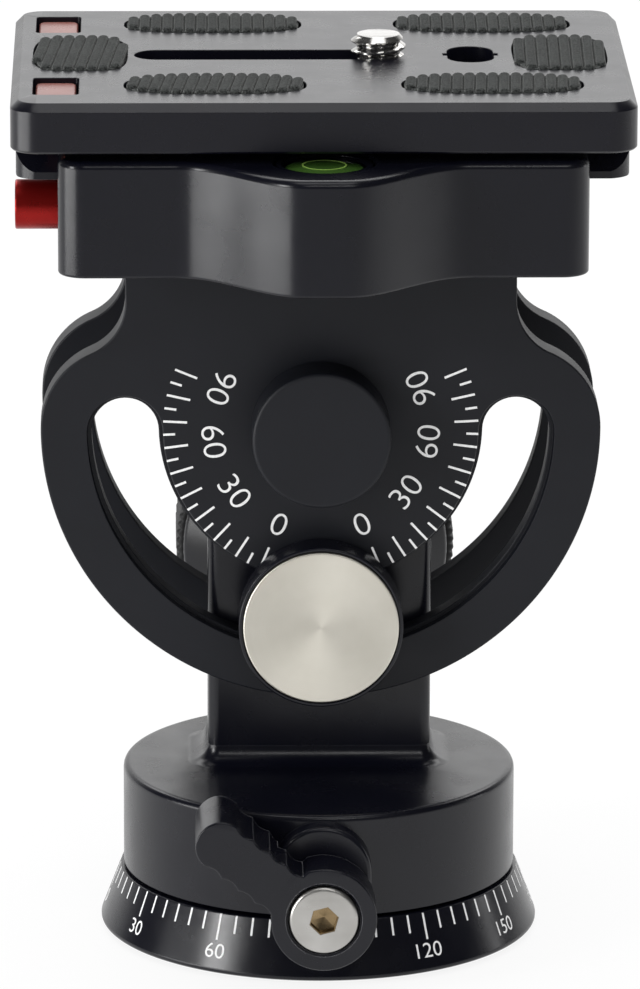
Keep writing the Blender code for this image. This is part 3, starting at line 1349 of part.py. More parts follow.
def barrel_outline(length, width, grow):
    """An end pad from above: nearly straight sides with bowed ends."""
    end_power = 0.5
    side_power = 0.8
    half_x = width / 2 + grow
    half_y = length / 2 + grow
    points = []
    steps = 16
    for i in range(steps):
        angle = math.tau * i / steps
        x = half_x * math.copysign(abs(math.cos(angle)) ** end_power, math.cos(angle))
        y = half_y * math.copysign(abs(math.sin(angle)) ** side_power, math.sin(angle))
        points.append((x, y))
    return points


def pad_outlines(grow):
    """Each pad's outline from above, in place."""
    long_pad = lens_outline(PAD_LENGTH, PAD_WIDTH, grow)
    end_pad = barrel_outline(PAD_LENGTH, END_PAD_WIDTH, grow)
    places = {
        "pad_front_left": (long_pad, -PAD_X_LEFT, UPPER_Y - PAD_Y),
        "pad_rear_left": (long_pad, -PAD_X_LEFT, UPPER_Y + PAD_Y),
        "pad_front_right": (long_pad, PAD_X_RIGHT, UPPER_Y - PAD_Y),
        "pad_rear_right": (long_pad, PAD_X_RIGHT, UPPER_Y + PAD_Y),
        "pad_end_left": (end_pad, -END_PAD_X, UPPER_Y),
        "pad_end_right": (end_pad, END_PAD_X, UPPER_Y),
    }
    return {
        name: [(x + centre_x, y + centre_y) for x, y in outline]
        for name, (outline, centre_x, centre_y) in places.items()
    }


def plate_fittings(finish):
    """The rubber pads, the sprung stops, and the camera screw with its washer."""
    pads = []
    pad_low = SLAB_TOP + PAD_PROUD - PAD_THICKNESS
    for name, outline in pad_outlines(0).items():
        pads.append(flat(name, [outline], pad_low, SLAB_TOP + PAD_PROUD, finish["pad"]))

    stops = []
    top = SLAB_TOP - STOP_SUNK
    low = top - STOP_HEIGHT
    for name, side in (("front", -1), ("rear", 1)):
        y = UPPER_Y + side * STOP_Y
        half_width = STOP_WIDTH / 2
        outline = rounded_box(STOP_LENGTH / 2, y - half_width, y + half_width, EDGE, 2)
        outline = [(x - STOP_X, sy) for x, sy in outline]
        stop = flat(f"stop_{name}", [outline], low, top, finish["red"])
        stem = cylinder(
            f"stop_stem_{name}", STOP_STEM_RADIUS, SLAB_BOTTOM - STOP_STEM_PROUD, top - EDGE, None, 16
        )
        face(stem, "+Z", (-STOP_X, y + side * STOP_WIDTH / 4, 0))
        stops.append(join(stop, stem))

    place = (CAMERA_SLOT_END, UPPER_Y, 0)
    roof = SLAB_TOP - RECESS_ROOF
    washer_low = roof - GAP - CAMERA_WASHER_THICKNESS
    washer = ring(
        "camera_screw_washer", CAMERA_WASHER_RADIUS, CAMERA_SCREW_CORE_RADIUS + GAP,
        washer_low, washer_low + CAMERA_WASHER_THICKNESS, finish["black"], 24,
    )
    face(washer, "+Z", place)
    head_top = washer_low - GAP
    head_low = head_top - CAMERA_SCREW_HEAD_HEIGHT
    thread_top = SLAB_TOP + CAMERA_SCREW_PROUD
    profile = [(0, thread_top), (CAMERA_SCREW_CORE_RADIUS - EDGE, thread_top)]
    height = thread_top - EDGE
    while height - CAMERA_SCREW_PITCH > SLAB_TOP:
        profile.append((CAMERA_SCREW_CORE_RADIUS, height))
        profile.append((CAMERA_SCREW_RADIUS, height - CAMERA_SCREW_PITCH / 2))
        height -= CAMERA_SCREW_PITCH
    profile += [
        (CAMERA_SCREW_CORE_RADIUS, height),
        (CAMERA_SCREW_CORE_RADIUS, head_top),
        (CAMERA_SCREW_HEAD_RADIUS, head_top),
        (CAMERA_SCREW_HEAD_RADIUS, head_low),
        (0, head_low),
    ]
    screw = face(turned("camera_screw", profile, finish["chrome"], 24), "+Z", place)
    reach = CAMERA_SCREW_HEAD_RADIUS + OVERRUN
    coin = box(
        "coin_slot",
        (place[0] - reach, UPPER_Y - COIN_SLOT_WIDTH / 2, head_low - OVERRUN),
        (place[0] + reach, UPPER_Y + COIN_SLOT_WIDTH / 2, head_low + COIN_SLOT_DEPTH),
    )
    cut(screw, coin)
    return pads, stops, washer, screw


def main():
    start()
    finish = {
        "black": material("black_anodised", (0.022, 0.022, 0.025), 0.6, 0.42),
        "charcoal": material("charcoal_anodised", (0.028, 0.029, 0.034), 0.5, 0.5),
        "plate": material("plate_anodised", (0.03, 0.03, 0.033), 0.6, 0.4),
        "steel": material("steel", (0.6, 0.58, 0.55), 1.0, 0.3),
        "bright": material("bright_disc", (0.66, 0.63, 0.56), 1.0, 0.35),
        "chrome": material("chrome", (0.75, 0.75, 0.75), 1.0, 0.12),
        "aluminium": material("aluminium", (0.55, 0.55, 0.56), 1.0, 0.4),
        "brass": material("bronze", (0.5, 0.36, 0.16), 1.0, 0.35),
        "polymer": material("sliding_polymer", (0.75, 0.75, 0.72), 0.0, 0.5),
        "rubber": material("grip_rubber", (0.02, 0.02, 0.02), 0.0, 0.75),
        "pad": material("pad_rubber", (0.09, 0.1, 0.1), 0.0, 0.8),
        "red": material("red_anodised", (0.45, 0.02, 0.015), 0.4, 0.35),
        "level": material("level_liquid", (0.25, 0.6, 0.12), 0.0, 0.1),
        "bubble": material("bubble", (0.75, 0.9, 0.55), 0.0, 0.05),
    }
    pan_base(finish)
    carry(pivot("pan_axis", (0, 0, DRUM_BOTTOM)), *pan_housing(finish), *clamp_bolt(finish))
    carry(pivot("lever_axis", (0, -LEVER_FRONT, LEVER_Z)), *pan_lever(finish))
    carry(pivot("knob_axis", (0, KNOB_START, BOLT_Z)), *tilt_knob(finish))
    clamp_pieces = clamp_body(finish)
    button, spring, pin = safety_button(clamp_pieces[0], finish)
    carry(pivot("tilt_axis", (0, UPPER_Y, HUB_Z)), *bracket_plates(finish), *clamp_pieces, spring)
    carry(pivot("jaw_slide", (0, UPPER_Y + JAW_FRONT, JAW_AXIS_Z)), *moving_jaw(finish))
    carry(pivot("clamp_knob_axis", (0, UPPER_Y + JAW_REAR, JAW_AXIS_Z)), *clamp_knob(finish))
    carry(pivot("button_slide", (-CLAMP_HALF_LENGTH, UPPER_Y - BUTTON_Y, JAW_AXIS_Z)), button)
    carry(pivot("pin_slide", (-PIN_X, UPPER_Y - BUTTON_Y, PIN_BOTTOM)), pin)
    pads, stops, washer, screw = plate_fittings(finish)
    carry(pivot("plate_slide", (0, UPPER_Y, RAIL_BOTTOM)), *camera_plate(finish), *pads)
    for stop, side in zip(stops, (-1, 1)):
        carry(pivot(f"{stop.name}_slide", (-STOP_X, UPPER_Y + side * STOP_Y, SLAB_BOTTOM)), stop)
    carry(pivot("camera_screw_axis", (CAMERA_SLOT_END, UPPER_Y, SLAB_BOTTOM)), washer, screw)
    for obj in bpy.data.collections[PARTS].objects:
        if obj.type == "MESH":
            obj.data.set_sharp_from_angle(angle=math.radians(30))
    bpy.context.view_layer.update()


main()
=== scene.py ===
"""Looks of the monopod tilt head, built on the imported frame.

Metres, +Z up, in the frame of the CAD: the origin is on the pan axis at the underside of the
base, and the scale, the bright cap and the pan lever face -Y. Visible nodes are replaced by finer
pieces of the same sizes, and the nodes inside keep their CAD shape with a procedural finish.
"""

import functools
import json
import math

import bmesh
import bpy
from mathutils import Matrix, Vector


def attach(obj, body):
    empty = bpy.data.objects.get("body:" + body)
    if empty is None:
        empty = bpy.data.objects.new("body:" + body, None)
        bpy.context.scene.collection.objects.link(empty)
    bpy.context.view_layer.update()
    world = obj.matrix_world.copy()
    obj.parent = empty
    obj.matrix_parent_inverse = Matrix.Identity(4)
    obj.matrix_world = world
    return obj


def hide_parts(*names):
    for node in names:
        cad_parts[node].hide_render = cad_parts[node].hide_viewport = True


MM = 0.001

# Shared small sizes
GAP = 0.3 * MM
OVERRUN = 1.0 * MM
EDGE = 0.5 * MM
FINE_EDGE = 0.25 * MM
HAIR_EDGE = 0.1 * MM
MARK_PROUD = 0.03 * MM
ROUND_STEPS = 5
LATHE_STEPS = 160
DISC_STEPS = 192
PART_STEPS = 96
MIDDLE_STEPS = 64
ROOM_STEPS = 48
HOLE_STEPS = 32
HUB_STEPS = 72
HOLE_END_STEPS = 28
SLOT_END_STEPS = 24
COVE_STEPS = 20
PLATE_CORNER_STEPS = 16
CORNER_STEPS = 14
FILLET_STEPS = 12
TIP_STEPS = 10
SOFT_STEPS = 8
POST_EDGE_STEPS = 6
EDGE_STEPS = 4

# Pan base
BASE_FOOT_RADIUS = 22.9 * MM
BASE_BULGE_RADIUS = 25.2 * MM
BASE_BULGE_HEIGHT = 0.75 * MM
BASE_BULGE_ROUND = 0.5 * MM
BASE_SHOULDER_RADIUS = 22.75 * MM
BASE_HEIGHT = 7.1 * MM
BASE_FLOOR = 5.0 * MM
BASE_RECESS_RADIUS = 19.3 * MM
BUSH_RADIUS = 6.5 * MM
BUSH_HEIGHT = 9.3 * MM
SOCKET_RADIUS = 4.35 * MM
SOCKET_CHAMFER = 0.6 * MM
SOCKET_PITCH = 1.588 * MM
SOCKET_GROOVE = 0.5 * MM
BASE_SCREW_CIRCLE = 10.0 * MM
BASE_SCREW_BORE = 1.6 * MM
BASE_SCREW_ROOM_RADIUS = 2.6 * MM
BASE_SCREW_ROOM_HEIGHT = 1.7 * MM
BASE_SCREW_COUNT = 3
PAN_TICK_STEP = 5
PAN_LABEL_STEP = 30
PAN_TICK_TOP = 7.0 * MM
PAN_TICK_SHORT = 1.9 * MM
PAN_TICK_LONG = 2.8 * MM
PAN_TICK_WIDTH = 0.24 * MM
PAN_LABEL_Z = 3.05 * MM
PAN_LABEL_SIZE = 2.25 * MM
PAN_LABEL_BOLD_SHARE = -0.004
PAN_LABEL_WIDE_SHARE = 1.15

# Drum and post
SPINDLE_TOP = 15.2 * MM
CAVITY_RADIUS = 12.3 * MM
DRUM_RADIUS = 22.45 * MM
DRUM_BOTTOM = BASE_HEIGHT + GAP
DRUM_TOP = 19.3 * MM
DRUM_EDGE = 0.8 * MM
POST_HALF_WIDTH = 12.75 * MM
POST_FRONT = -1.6 * MM
POST_BACK = 10.0 * MM
POST_CORNER = 1.3 * MM
FOOT_FILLET = 2.4 * MM
UPPER_Y = 4.2 * MM
HUB_Z = 60.2 * MM
SHAFT_ROOM_RADIUS = 3.3 * MM
SHAFT_BUSH_ROOM = 5.1 * MM
SHOE_ROOM_RADIUS = 2.7 * MM
FRICTION_ROOM = 6.5 * MM
FRICTION_DEPTH = 1.3 * MM
BOSS_HALF_WIDTH = 5.5 * MM
BOSS_TOP = 18.7 * MM
BOSS_FRONT = 24.9 * MM

# Pan lever, whose outline is measured from its own axis
LEVER_Z = 9.7 * MM
LEVER_BACK = 25.2 * MM
LEVER_FRONT = 30.8 * MM
LEVER_ARM_BACK = 20.6 * MM
LEVER_HUB_RADIUS = 5.95 * MM
LEVER_ARM_ANGLE = math.radians(142)
LEVER_ARM_REACH = 17.2 * MM
LEVER_ARM_WIDTH = 5.8 * MM
LEVER_ARM_DROP = 0.3 * MM
LEVER_ARM_START = 5.0 * MM
LEVER_TIP_RADIUS = 2.8 * MM
LEVER_SCALLOP = 0.35 * MM
LEVER_SCALLOPS = 4
LEVER_EDGE = 0.2 * MM
LEVER_KEEP_OUT = 7.4 * MM
LEVER_DRUM_ROOM = 1.2 * MM
LEVER_SCREW_ROOM = 4.05 * MM
LEVER_SCREW_HEAD_RADIUS = 3.9 * MM
LEVER_SCREW_HEAD_HEIGHT = 2.8 * MM
LEVER_SCREW_RADIUS = 2.0 * MM
LEVER_SCREW_PROUD = 0.25 * MM
LEVER_SCREW_REACH = 13.5 * MM
LEVER_HEX = 1.7 * MM
LEVER_HEX_LEAN = math.radians(15)
LEVER_HEX_DEPTH = 1.8 * MM

# Arc plates
FRONT_FACE = -6.1 * MM
FRONT_PLATE_BACK = -1.9 * MM
REAR_PLATE_FRONT = 10.3 * MM
REAR_FACE = 14.5 * MM
PLATE_TOP = 81.0 * MM
PLATE_EDGE = 0.22 * MM
ARC_RADIUS = 31.7 * MM
SLOT_RADIUS = 22.15 * MM
SLOT_HALF_WIDTH = 3.8 * MM
SLOT_LEDGE = 0.45 * MM
RIM_SHARE = 0.15
SLOT_LEDGE_DEPTH = 1.3 * MM
SLOT_END_ANGLE = math.radians(88.6)
NECK_HALF_WIDTH = 22.1 * MM
NECK_FILLET = 6.5 * MM
HUB_CAP_RADIUS = 7.85 * MM
HUB_CAP_START = 6.4 * MM
HUB_CAP_FRONT = 12.0 * MM
HUB_CAP_BORE_END = 8.85 * MM
REAR_HUB_CAP_START = 14.8 * MM
HUB_CAP_REAR = 16.9 * MM
REAR_HUB_CAP_BORE_END = 16.0 * MM
TILT_SCALE_START = 22.7
TILT_TICK_STEP = 5
TILT_SCALE_END = 90
TILT_TICK_OUTER = 17.85 * MM
TILT_TICK_LONG = 15.15 * MM
TILT_TICK_SHORT = 16.5 * MM
TILT_TICK_WIDTH = 0.26 * MM
TILT_LABEL_STEP = 30
TILT_LABEL_RADIUS = 12.2 * MM
TILT_LABEL_SIZE = 3.85 * MM
TILT_LABEL_THIN_SHARE = -0.012
TILT_LABEL_WIDE_SHARE = 1.08

# Clamp bolt, its cap and the tilt knob
BOLT_Z = HUB_Z - SLOT_RADIUS
CAP_RADIUS = 9.35 * MM
CAP_BACK = 6.4 * MM
CAP_FRONT = 10.8 * MM
CAP_BORE = 4.8 * MM
CAP_BORE_END = 8.8 * MM
DISC_RING_SHARES = (0.02, 0.1, 0.3, 0.5, 0.7, 0.85, 0.95)
CAP_DISC_RADIUS = 8.85 * MM
CAP_DISC_BACK = 10.3 * MM
CAP_DISC_FRONT = 11.0 * MM
KNOB_START = 16.1 * MM
KNOB_RADIUS = 16.3 * MM
KNOB_RIB_DEPTH = 0.35 * MM
KNOB_RIBS = 102
KNOB_NECK_RADIUS = 9.0 * MM
KNOB_NECK_END = 18.3 * MM
KNOB_FLARE_END = 23.5 * MM
KNOB_FLARE_ROUND = 2.0 * MM
KNOB_CORE_RADIUS = 14.2 * MM
KNOB_LIP_RADIUS = 15.45 * MM
KNOB_CAP_LINE_SHARE = 0.82
KNOB_GRIP_FRONT = 24.8 * MM
KNOB_GRIP_BACK = 38.0 * MM
KNOB_GRIP_EDGE = 0.7 * MM
KNOB_CAP_RADIUS = 11.0 * MM
KNOB_CAP_LOW = 36.8 * MM
KNOB_CAP_HIGH = 38.3 * MM
KNOB_BOLT_ROOM = 2.5 * MM
KNOB_BOLT_ROOM_END = 30.4 * MM

# Quick release clamp
CLAMP_BOTTOM = 81.3 * MM
CLAMP_TOP = 94.5 * MM
CLAMP_HALF_LENGTH = 29.5 * MM
CLAMP_CORNER = 3.0 * MM
CLAMP_EDGE = 0.9 * MM
CLAMP_LOWER_EDGE = 0.35 * MM
CLAMP_FRONT_Y = -21.4 * MM
CLAMP_REAR_Y = 19.8 * MM
NOSE_REACH = 9.6 * MM
NOSE_FLAT_HALF_WIDTH = 2.0 * MM
NOSE_HALF_WIDTH = 16.5 * MM
DOVETAIL_HALF_WIDTH = 19.0 * MM
DOVETAIL_FOOT = 0.8 * MM
DOVETAIL_FLANK = 2.0 * MM
RAIL_BOTTOM = 91.1 * MM
RAIL_CORNER = 3.0 * MM
JAW_FRONT_Y = 20.2 * MM
JAW_REAR_Y = 30.6 * MM
JAW_AXIS_Z = 86.4 * MM
JAW_PIN_X = 22.0 * MM
JAW_PIN_ROOM = 1.8 * MM
JAW_SPRING_ROOM = 2.95 * MM
JAW_SPRING_ROOM_START = 16.7 * MM
JAW_SPRING_ROOM_END = 22.9 * MM
JAW_PIN_ROOM_START = 8.9 * MM
PLATE_MIDDLE_FRONT = -4.0 * MM
PLATE_MIDDLE_REAR = 12.4 * MM
BRACKET_SCREW_X = 12.0 * MM
BRACKET_SCREW_ROOM = 2.6 * MM
CLAMP_SCREW_ROOM = 2.8 * MM
CLAMP_SCREW_ROOM_START = 9.4 * MM
CLAMP_KNOB_START = 30.9 * MM
CLAMP_KNOB_NECK_END = 32.9 * MM
CLAMP_KNOB_NECK_RADIUS = 6.0 * MM
CLAMP_KNOB_RADIUS = 10.5 * MM
CLAMP_KNOB_CORE_RADIUS = 8.8 * MM
CLAMP_KNOB_GRIP_FRONT = 34.2 * MM
CLAMP_KNOB_END = 45.2 * MM
CLAMP_KNOB_RIBS = 66
CLAMP_KNOB_SCREW_END = 38.7 * MM
CLAMP_KNOB_DISH_RADIUS = 6.6 * MM
CLAMP_KNOB_DISH_DEPTH = 0.4 * MM
LEVEL_Y = -21.2 * MM
LEVEL_RADIUS = 5.4 * MM
LEVEL_TOP = 94.3 * MM
LEVEL_LOW = 90.1 * MM
LEVEL_WALL = 0.6 * MM
LEVEL_FLOOR = 0.8 * MM
LEVEL_GLASS_RADIUS = 4.5 * MM
LEVEL_GLASS_TOP = 94.15 * MM
LEVEL_GLASS_EDGE = 93.85 * MM
LEVEL_CIRCLE_RADIUS = 2.3 * MM
LEVEL_CIRCLE_WIDTH = 0.2 * MM
BUBBLE_RADIUS = 1.6 * MM
BUBBLE_THICKNESS = 0.5 * MM

# Safety button
BUTTON_Y = -6.5 * MM
BUTTON_RADIUS = 2.8 * MM
BUTTON_OUTER_X = 34.4 * MM
BUTTON_INNER_X = 19.5 * MM
BUTTON_ROOM = 3.1 * MM
BUTTON_ROOM_END = 15.7 * MM
BUTTON_DISH = 0.15 * MM
PIN_ROOM_RADIUS = 1.3 * MM
PIN_ROOM_FLOOR = 82.2 * MM
BUTTON_WINDOW_HALF_WIDTH = 1.4 * MM
BUTTON_WINDOW_OUTER_X = 26.7 * MM
BUTTON_WINDOW_INNER_X = 22.0 * MM

# Camera plate
SLAB_HALF_LENGTH = 34.7 * MM
SLAB_TOP = 101.2 * MM
SLAB_BOTTOM = 95.6 * MM
SLAB_FRONT_Y = -22.2 * MM
SLAB_REAR_Y = 29.4 * MM
SLAB_CORNER = 3.2 * MM
SLAB_EDGE = 0.9 * MM
SLAB_LOWER_EDGE = 0.25 * MM
RAIL_HALF_LENGTH = 34.2 * MM
RECESS_HALF_WIDTH = 8.5 * MM
RECESS_HALF_LENGTH = 31.5 * MM
RECESS_ROOF = 97.9 * MM
PIN_X = -23.6 * MM
GROOVE_HALF_LENGTH = 6.3 * MM
GROOVE_HALF_WIDTH = 1.4 * MM
GROOVE_TOP = 92.6 * MM
POCKET_EDGE = 0.12 * MM
STOP_X = -29.7 * MM
STOP_Y = 16.6 * MM
STOP_HALF_LENGTH = 2.25 * MM
STOP_HALF_WIDTH = 4.1 * MM
STOP_LOW = 98.3 * MM
STOP_TOP = 100.7 * MM
STOP_EDGE = 0.3 * MM
STOP_CORNER = 0.9 * MM
STOP_WINDOW_FLOOR = 97.3 * MM
STOP_STEM_RADIUS = 1.0 * MM
STOP_STEM_LOW = 95.2 * MM
CAMERA_SLOT_HALF_WIDTH = 2.6 * MM
CAMERA_SLOT_START = -21.0 * MM
CAMERA_SCREW_X = 6.6 * MM
CAMERA_HOLE_X = 17.0 * MM
CAMERA_HOLE_RADIUS = 2.6 * MM
CAMERA_HOLE_LENGTH = 8.6 * MM
CAMERA_HOLE_NOTCH = 0.5 * MM
CAMERA_HOLE_NOTCH_WIDTH = 1.2 * MM
CAMERA_SCREW_CORE_RADIUS = 2.45 * MM
CAMERA_SCREW_RADIUS = 3.1 * MM
CAMERA_SCREW_TOP = 103.65 * MM
CAMERA_SCREW_TIP_RADIUS = 2.35 * MM
CAMERA_SCREW_TIP_EDGE = 0.75 * MM
CAMERA_SCREW_PITCH = 1.27 * MM
CAMERA_SCREW_THREAD_LOW = 100.9 * MM
CAMERA_SCREW_NECK_RADIUS = 2.3 * MM
CAMERA_SCREW_HEAD_RADIUS = 6.5 * MM
CAMERA_SCREW_HEAD_LOW = 93.9 * MM
CAMERA_SCREW_HEAD_TOP = 96.5 * MM
COIN_SLOT_HALF_WIDTH = 0.7 * MM
COIN_SLOT_DEPTH = 1.1 * MM
PAD_LENGTH = 19.7 * MM
PAD_WIDTH = 9.0 * MM
PAD_BACK_SHIFT = 0.3 * MM
END_PAD_LENGTH = 17.2 * MM
END_PAD_WIDTH = 10.0 * MM
PAD_X_LEFT = -12.0 * MM
PAD_X_RIGHT = 18.9 * MM
PAD_Y = 16.4 * MM
END_PAD_X = 27.1 * MM
PAD_LOW = 100.3 * MM
PAD_TOP = 101.7 * MM
# Powers of the long pads' and the end pads' outlines, along X and along Y
PAD_POWERS = (0.7, 0.75)
END_PAD_POWERS = (0.4, 0.7)
# Each pad's middle, from the pan axis and from the plate's middle line, and its ribs' lean
PADS = {
    "pad_front_left": (PAD_X_LEFT, -PAD_Y, math.radians(5.5)),
    "pad_rear_left": (PAD_X_LEFT, PAD_Y, math.radians(0.5)),
    "pad_front_right": (PAD_X_RIGHT, -PAD_Y, math.radians(2.5)),
    "pad_rear_right": (PAD_X_RIGHT, PAD_Y, math.radians(1)),
    "pad_end_left": (-END_PAD_X, 0, math.radians(4.5)),
    "pad_end_right": (END_PAD_X, 0, math.radians(1.5)),
}
PAD_RIB_PITCH = 1.3 * MM
PAD_RIB_DEPTH = 0.42 * MM
PAD_RIB_BULGE = 0.15 * MM
PAD_ROOM = 0.3 * MM
RIB_WIDTH_SHARE = 0.94
RIB_POWER = 0.75
THREAD_SLOPE = 1.5
THREAD_ROOT = 0.25
TIP_SLOPE = 0.95

# Camera, fitted to the photograph
CAMERA_AZIMUTH = math.radians(-1.2)
CAMERA_DISTANCE = 935.75 * MM
CAMERA_HEIGHT = 301.7 * MM
CAMERA_AIM_HEIGHT = 52.0 * MM
CAMERA_ROLL = math.radians(0.158)
CAMERA_LENS_MM = 308.9
CAMERA_SENSOR_MM = 36
CAMERA_SHIFT_X = 0.0005
CAMERA_SHIFT_Y = -0.0103

# Stage
METRE = 1000 * MM
FLOOR_HALF_SIZE = 4 * METRE
FLOOR_WHITE_SHARE = 0.88
FLOOR_SCALE = 40
FLOOR_DIM_START = -0.14 * METRE
FLOOR_DIM_END = -0.32 * METRE
FLOOR_DIM_SHARE = 0.55
WORLD_LEVEL = 0.75
ROOM_FRONT = 0.45
ROOM_BACK = 0.92
ROOM_FRONT_SHARE = 0.05
# Each lamp's place, width and height in metres, and its power in watts
LAMPS = (
    ("top_lamp", (0, 0.45, 0.6), 0.9, 0.5, 3.6),
    ("left_lamp", (-0.71, -0.46, 0.33), 0.2, 0.25, 3.0),
    ("left_low_lamp", (-0.33, -0.155, 0.035), 0.33, 0.07, 0.5),
    ("over_lamp", (0, -0.2, 0.9), 0.6, 0.35, 1.4),
    ("front_lamp", (0.2, -0.8, 0.72), 0.5, 0.12, 1.2),
    ("back_lamp", (0.25, 1.2, 0.36), 0.8, 0.3, 0.3),
    ("right_lamp", (0.5, 0.12, 0.1), 0.06, 0.16, 0.12),
)

# Texture scales, in features per metre, and depths
GRAIN_SCALE = 9000
GRAIN_STRENGTH = 0.25
GRAIN_DEPTH = 0.02 * MM
CLOUD_SCALE = 90
SMEAR_SCALE = 220
# The anodised finishes' edges are painted lighter: partly worn metal, partly a painted highlight; on
# the lever, a painted highlight.
HIGHLIGHT_AND_WEAR_SCALE = 700
HIGHLIGHT_AND_WEAR_RADIUS = 0.16 * MM
LEVER_HIGHLIGHT_RADIUS = 0.26 * MM
TURNING_SCALE = 5200
TURNING_STRENGTH = 0.12
SCRATCH_SCALE = 1500
SCRATCH_STRETCH = (0.15, 1, 1)
PEBBLE_SCALE = 5000
PEBBLE_STRENGTH = 0.6
PEBBLE_DEPTH = 0.03 * MM
# How much darker the pebble's low points are coloured, and over which range.
PEBBLE_PIT_DARK_SHARE = 0.8
PEBBLE_PIT_RANGE = (0.38, 0.56)
# How far the pads' rib sides are painted lighter as a painted highlight, and on which slopes.
RIB_FLANK_HIGHLIGHT_SHARE = 0.7
RIB_FLANK_RANGE = (0.55, 0.85)
NOISE_LOW = 0.3
NOISE_HIGH = 0.7
FINE_NOISE_LOW = 0.35
FINE_NOISE_HIGH = 0.65
# Where the painted edge lightening starts on the edge mask.
HIGHLIGHT_AND_WEAR_START_SHARE = 0.05
WHITE = (1, 1, 1, 1)
FLOOR_COLOURS = ((0.78, 0.78, 0.78), (0.8, 0.8, 0.8))
# The painted highlight colour of the pads' rib sides.
FLANK_HIGHLIGHT_COLOUR = (0.2, 0.205, 0.2)
PIT_COLOUR = (0.004, 0.004, 0.004)
LIQUID_ROUGHNESS = (0.04, 0.12)
LIQUID_IOR = 1.4
# How the liquid's painted rim shade blends in.
LIQUID_RIM_SHADE_BLEND = 0.4
INK_ROUGHNESS = (0.5, 0.65)
INK_SPECULAR = 0.3

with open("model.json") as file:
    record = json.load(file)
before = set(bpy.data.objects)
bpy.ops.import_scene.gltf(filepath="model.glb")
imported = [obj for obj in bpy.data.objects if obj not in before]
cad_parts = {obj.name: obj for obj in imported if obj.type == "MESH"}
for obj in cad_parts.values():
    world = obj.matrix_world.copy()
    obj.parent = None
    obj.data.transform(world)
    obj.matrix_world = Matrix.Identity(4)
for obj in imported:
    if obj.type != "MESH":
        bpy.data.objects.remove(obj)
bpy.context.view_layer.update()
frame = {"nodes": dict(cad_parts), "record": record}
slot_of_node = {part["node"]: part["material_slot"] for part in frame["record"]["subparts"]}
body_of_node = {}
for body_name, members in frame["record"]["behaviour"]["bodies"].items():
    for member in members:
        body_of_node[member] = body_name
finishes = {}

TURNS = {
    "+X": (math.pi / 2, "Y"),
    "-X": (-math.pi / 2, "Y"),
    "+Y": (-math.pi / 2, "X"),
    "-Y": (math.pi / 2, "X"),
    "+Z": (0, "X"),
}
SHARP_ANGLE = math.radians(32)
RIB_SHARP_ANGLE = math.radians(80)
PAD_SHARP_ANGLE = math.radians(60)
SIDES = (-1, 1)


def soften(points, closed=False, steps=ROUND_STEPS):
    """Rounds the corners of a line of (a, b, radius) points. A radius of zero stays sharp."""
    result = []
    count = len(points)
    for i, (a, b, radius) in enumerate(points):
        here = Vector((a, b))
        inside = closed or 0 < i < count - 1
        if radius == 0 or not inside:
            result.append((a, b))
            continue
        before = Vector(points[i - 1][:2]) - here
        after = Vector(points[(i + 1) % count][:2]) - here
        turn = math.pi - before.angle(after)
        longest = min(before.length, after.length) / 2
        reach = min(radius * math.tan(turn / 2), longest)
        start = here + before.normalized() * reach
        end = here + after.normalized() * reach
        for step in range(steps + 1):
            share = step / steps
            point = start.lerp(here, share).lerp(here.lerp(end, share), share)
            result.append((point.x, point.y))
    return result


def arc(centre, radius, start_angle, end_angle, steps):
    """Points on an arc, both ends included, angles in radians."""
    turn = (end_angle - start_angle) / steps
    angles = [start_angle + turn * i for i in range(steps + 1)]
    return [(centre[0] + radius * math.cos(a), centre[1] + radius * math.sin(a)) for a in angles]


def circle(centre, radius, steps):
    """Points round a circle."""
    return arc(centre, radius, 0, math.tau, steps)[:-1]


def round_box(half_x, low_y, high_y, corner, steps=SOFT_STEPS, centre_x=0):
    """The outline of a rectangle with round corners."""
    points = []
    for x, y, number in ((1, high_y, 0), (-1, high_y, 1), (-1, low_y, 2), (1, low_y, 3)):
        inward = -corner if y == high_y else corner
        middle = (centre_x + x * (half_x - corner), y + inward)
        points += arc(middle, corner, number * math.pi / 2, (number + 1) * math.pi / 2, steps)
    return points


def grow(outline, distance):
    """A closed counterclockwise outline moved outward by a distance, its corners mitred."""
    if distance == 0:
        return list(outline)
    least_share = 0.3
    moved = []
    count = len(outline)
    for i in range(count):
        before = Vector(outline[i]) - Vector(outline[i - 1])
        after = Vector(outline[(i + 1) % count]) - Vector(outline[i])
        first = Vector((before.y, -before.x)).normalized()
        second = Vector((after.y, -after.x)).normalized()
        both = (first + second) / max(1 + first.dot(second), least_share)
        moved.append((outline[i][0] + both.x * distance, outline[i][1] + both.y * distance))
    return moved


def quarter(steps):
    """Even steps of a quarter turn, as its sine and the rise of one minus its cosine."""
    angles = [math.pi / 2 * step / steps for step in range(steps + 1)]
    return [(math.sin(angle), 1 - math.cos(angle)) for angle in angles]


def rounding(low, high, edge_low, edge_high, steps=3):
    """Layers of (height, growth) for a wall between two heights, with a round edge at each end."""
    turns = quarter(steps)
    lower = [(low + edge_low * rise, -edge_low * (1 - sine)) for sine, rise in turns]
    upper = [(high - edge_high * rise, -edge_high * (1 - sine)) for sine, rise in reversed(turns)]
    return (lower if edge_low else [(low, 0)]) + (upper if edge_high else [(high, 0)])


def chamfered(low, high, edge_low, edge_high):
    """Layers of (height, growth) for a wall with a flat chamfer at each end, hardly rounded."""
    profile = soften([
        (-edge_low - OVERRUN, low, 0),
        (-edge_low, low, HAIR_EDGE),
        (0, low + edge_low, HAIR_EDGE),
        (0, high - edge_high, HAIR_EDGE),
        (-edge_high, high, HAIR_EDGE),
        (-edge_high - OVERRUN, high, 0),
    ], steps=2)
    return [(height, growth) for growth, height in profile[1:-1]]


def ring_of(shape, outline, height):
    """New vertices of a bmesh along an outline at one height."""
    return [shape.verts.new((x, y, height)) for x, y in outline]


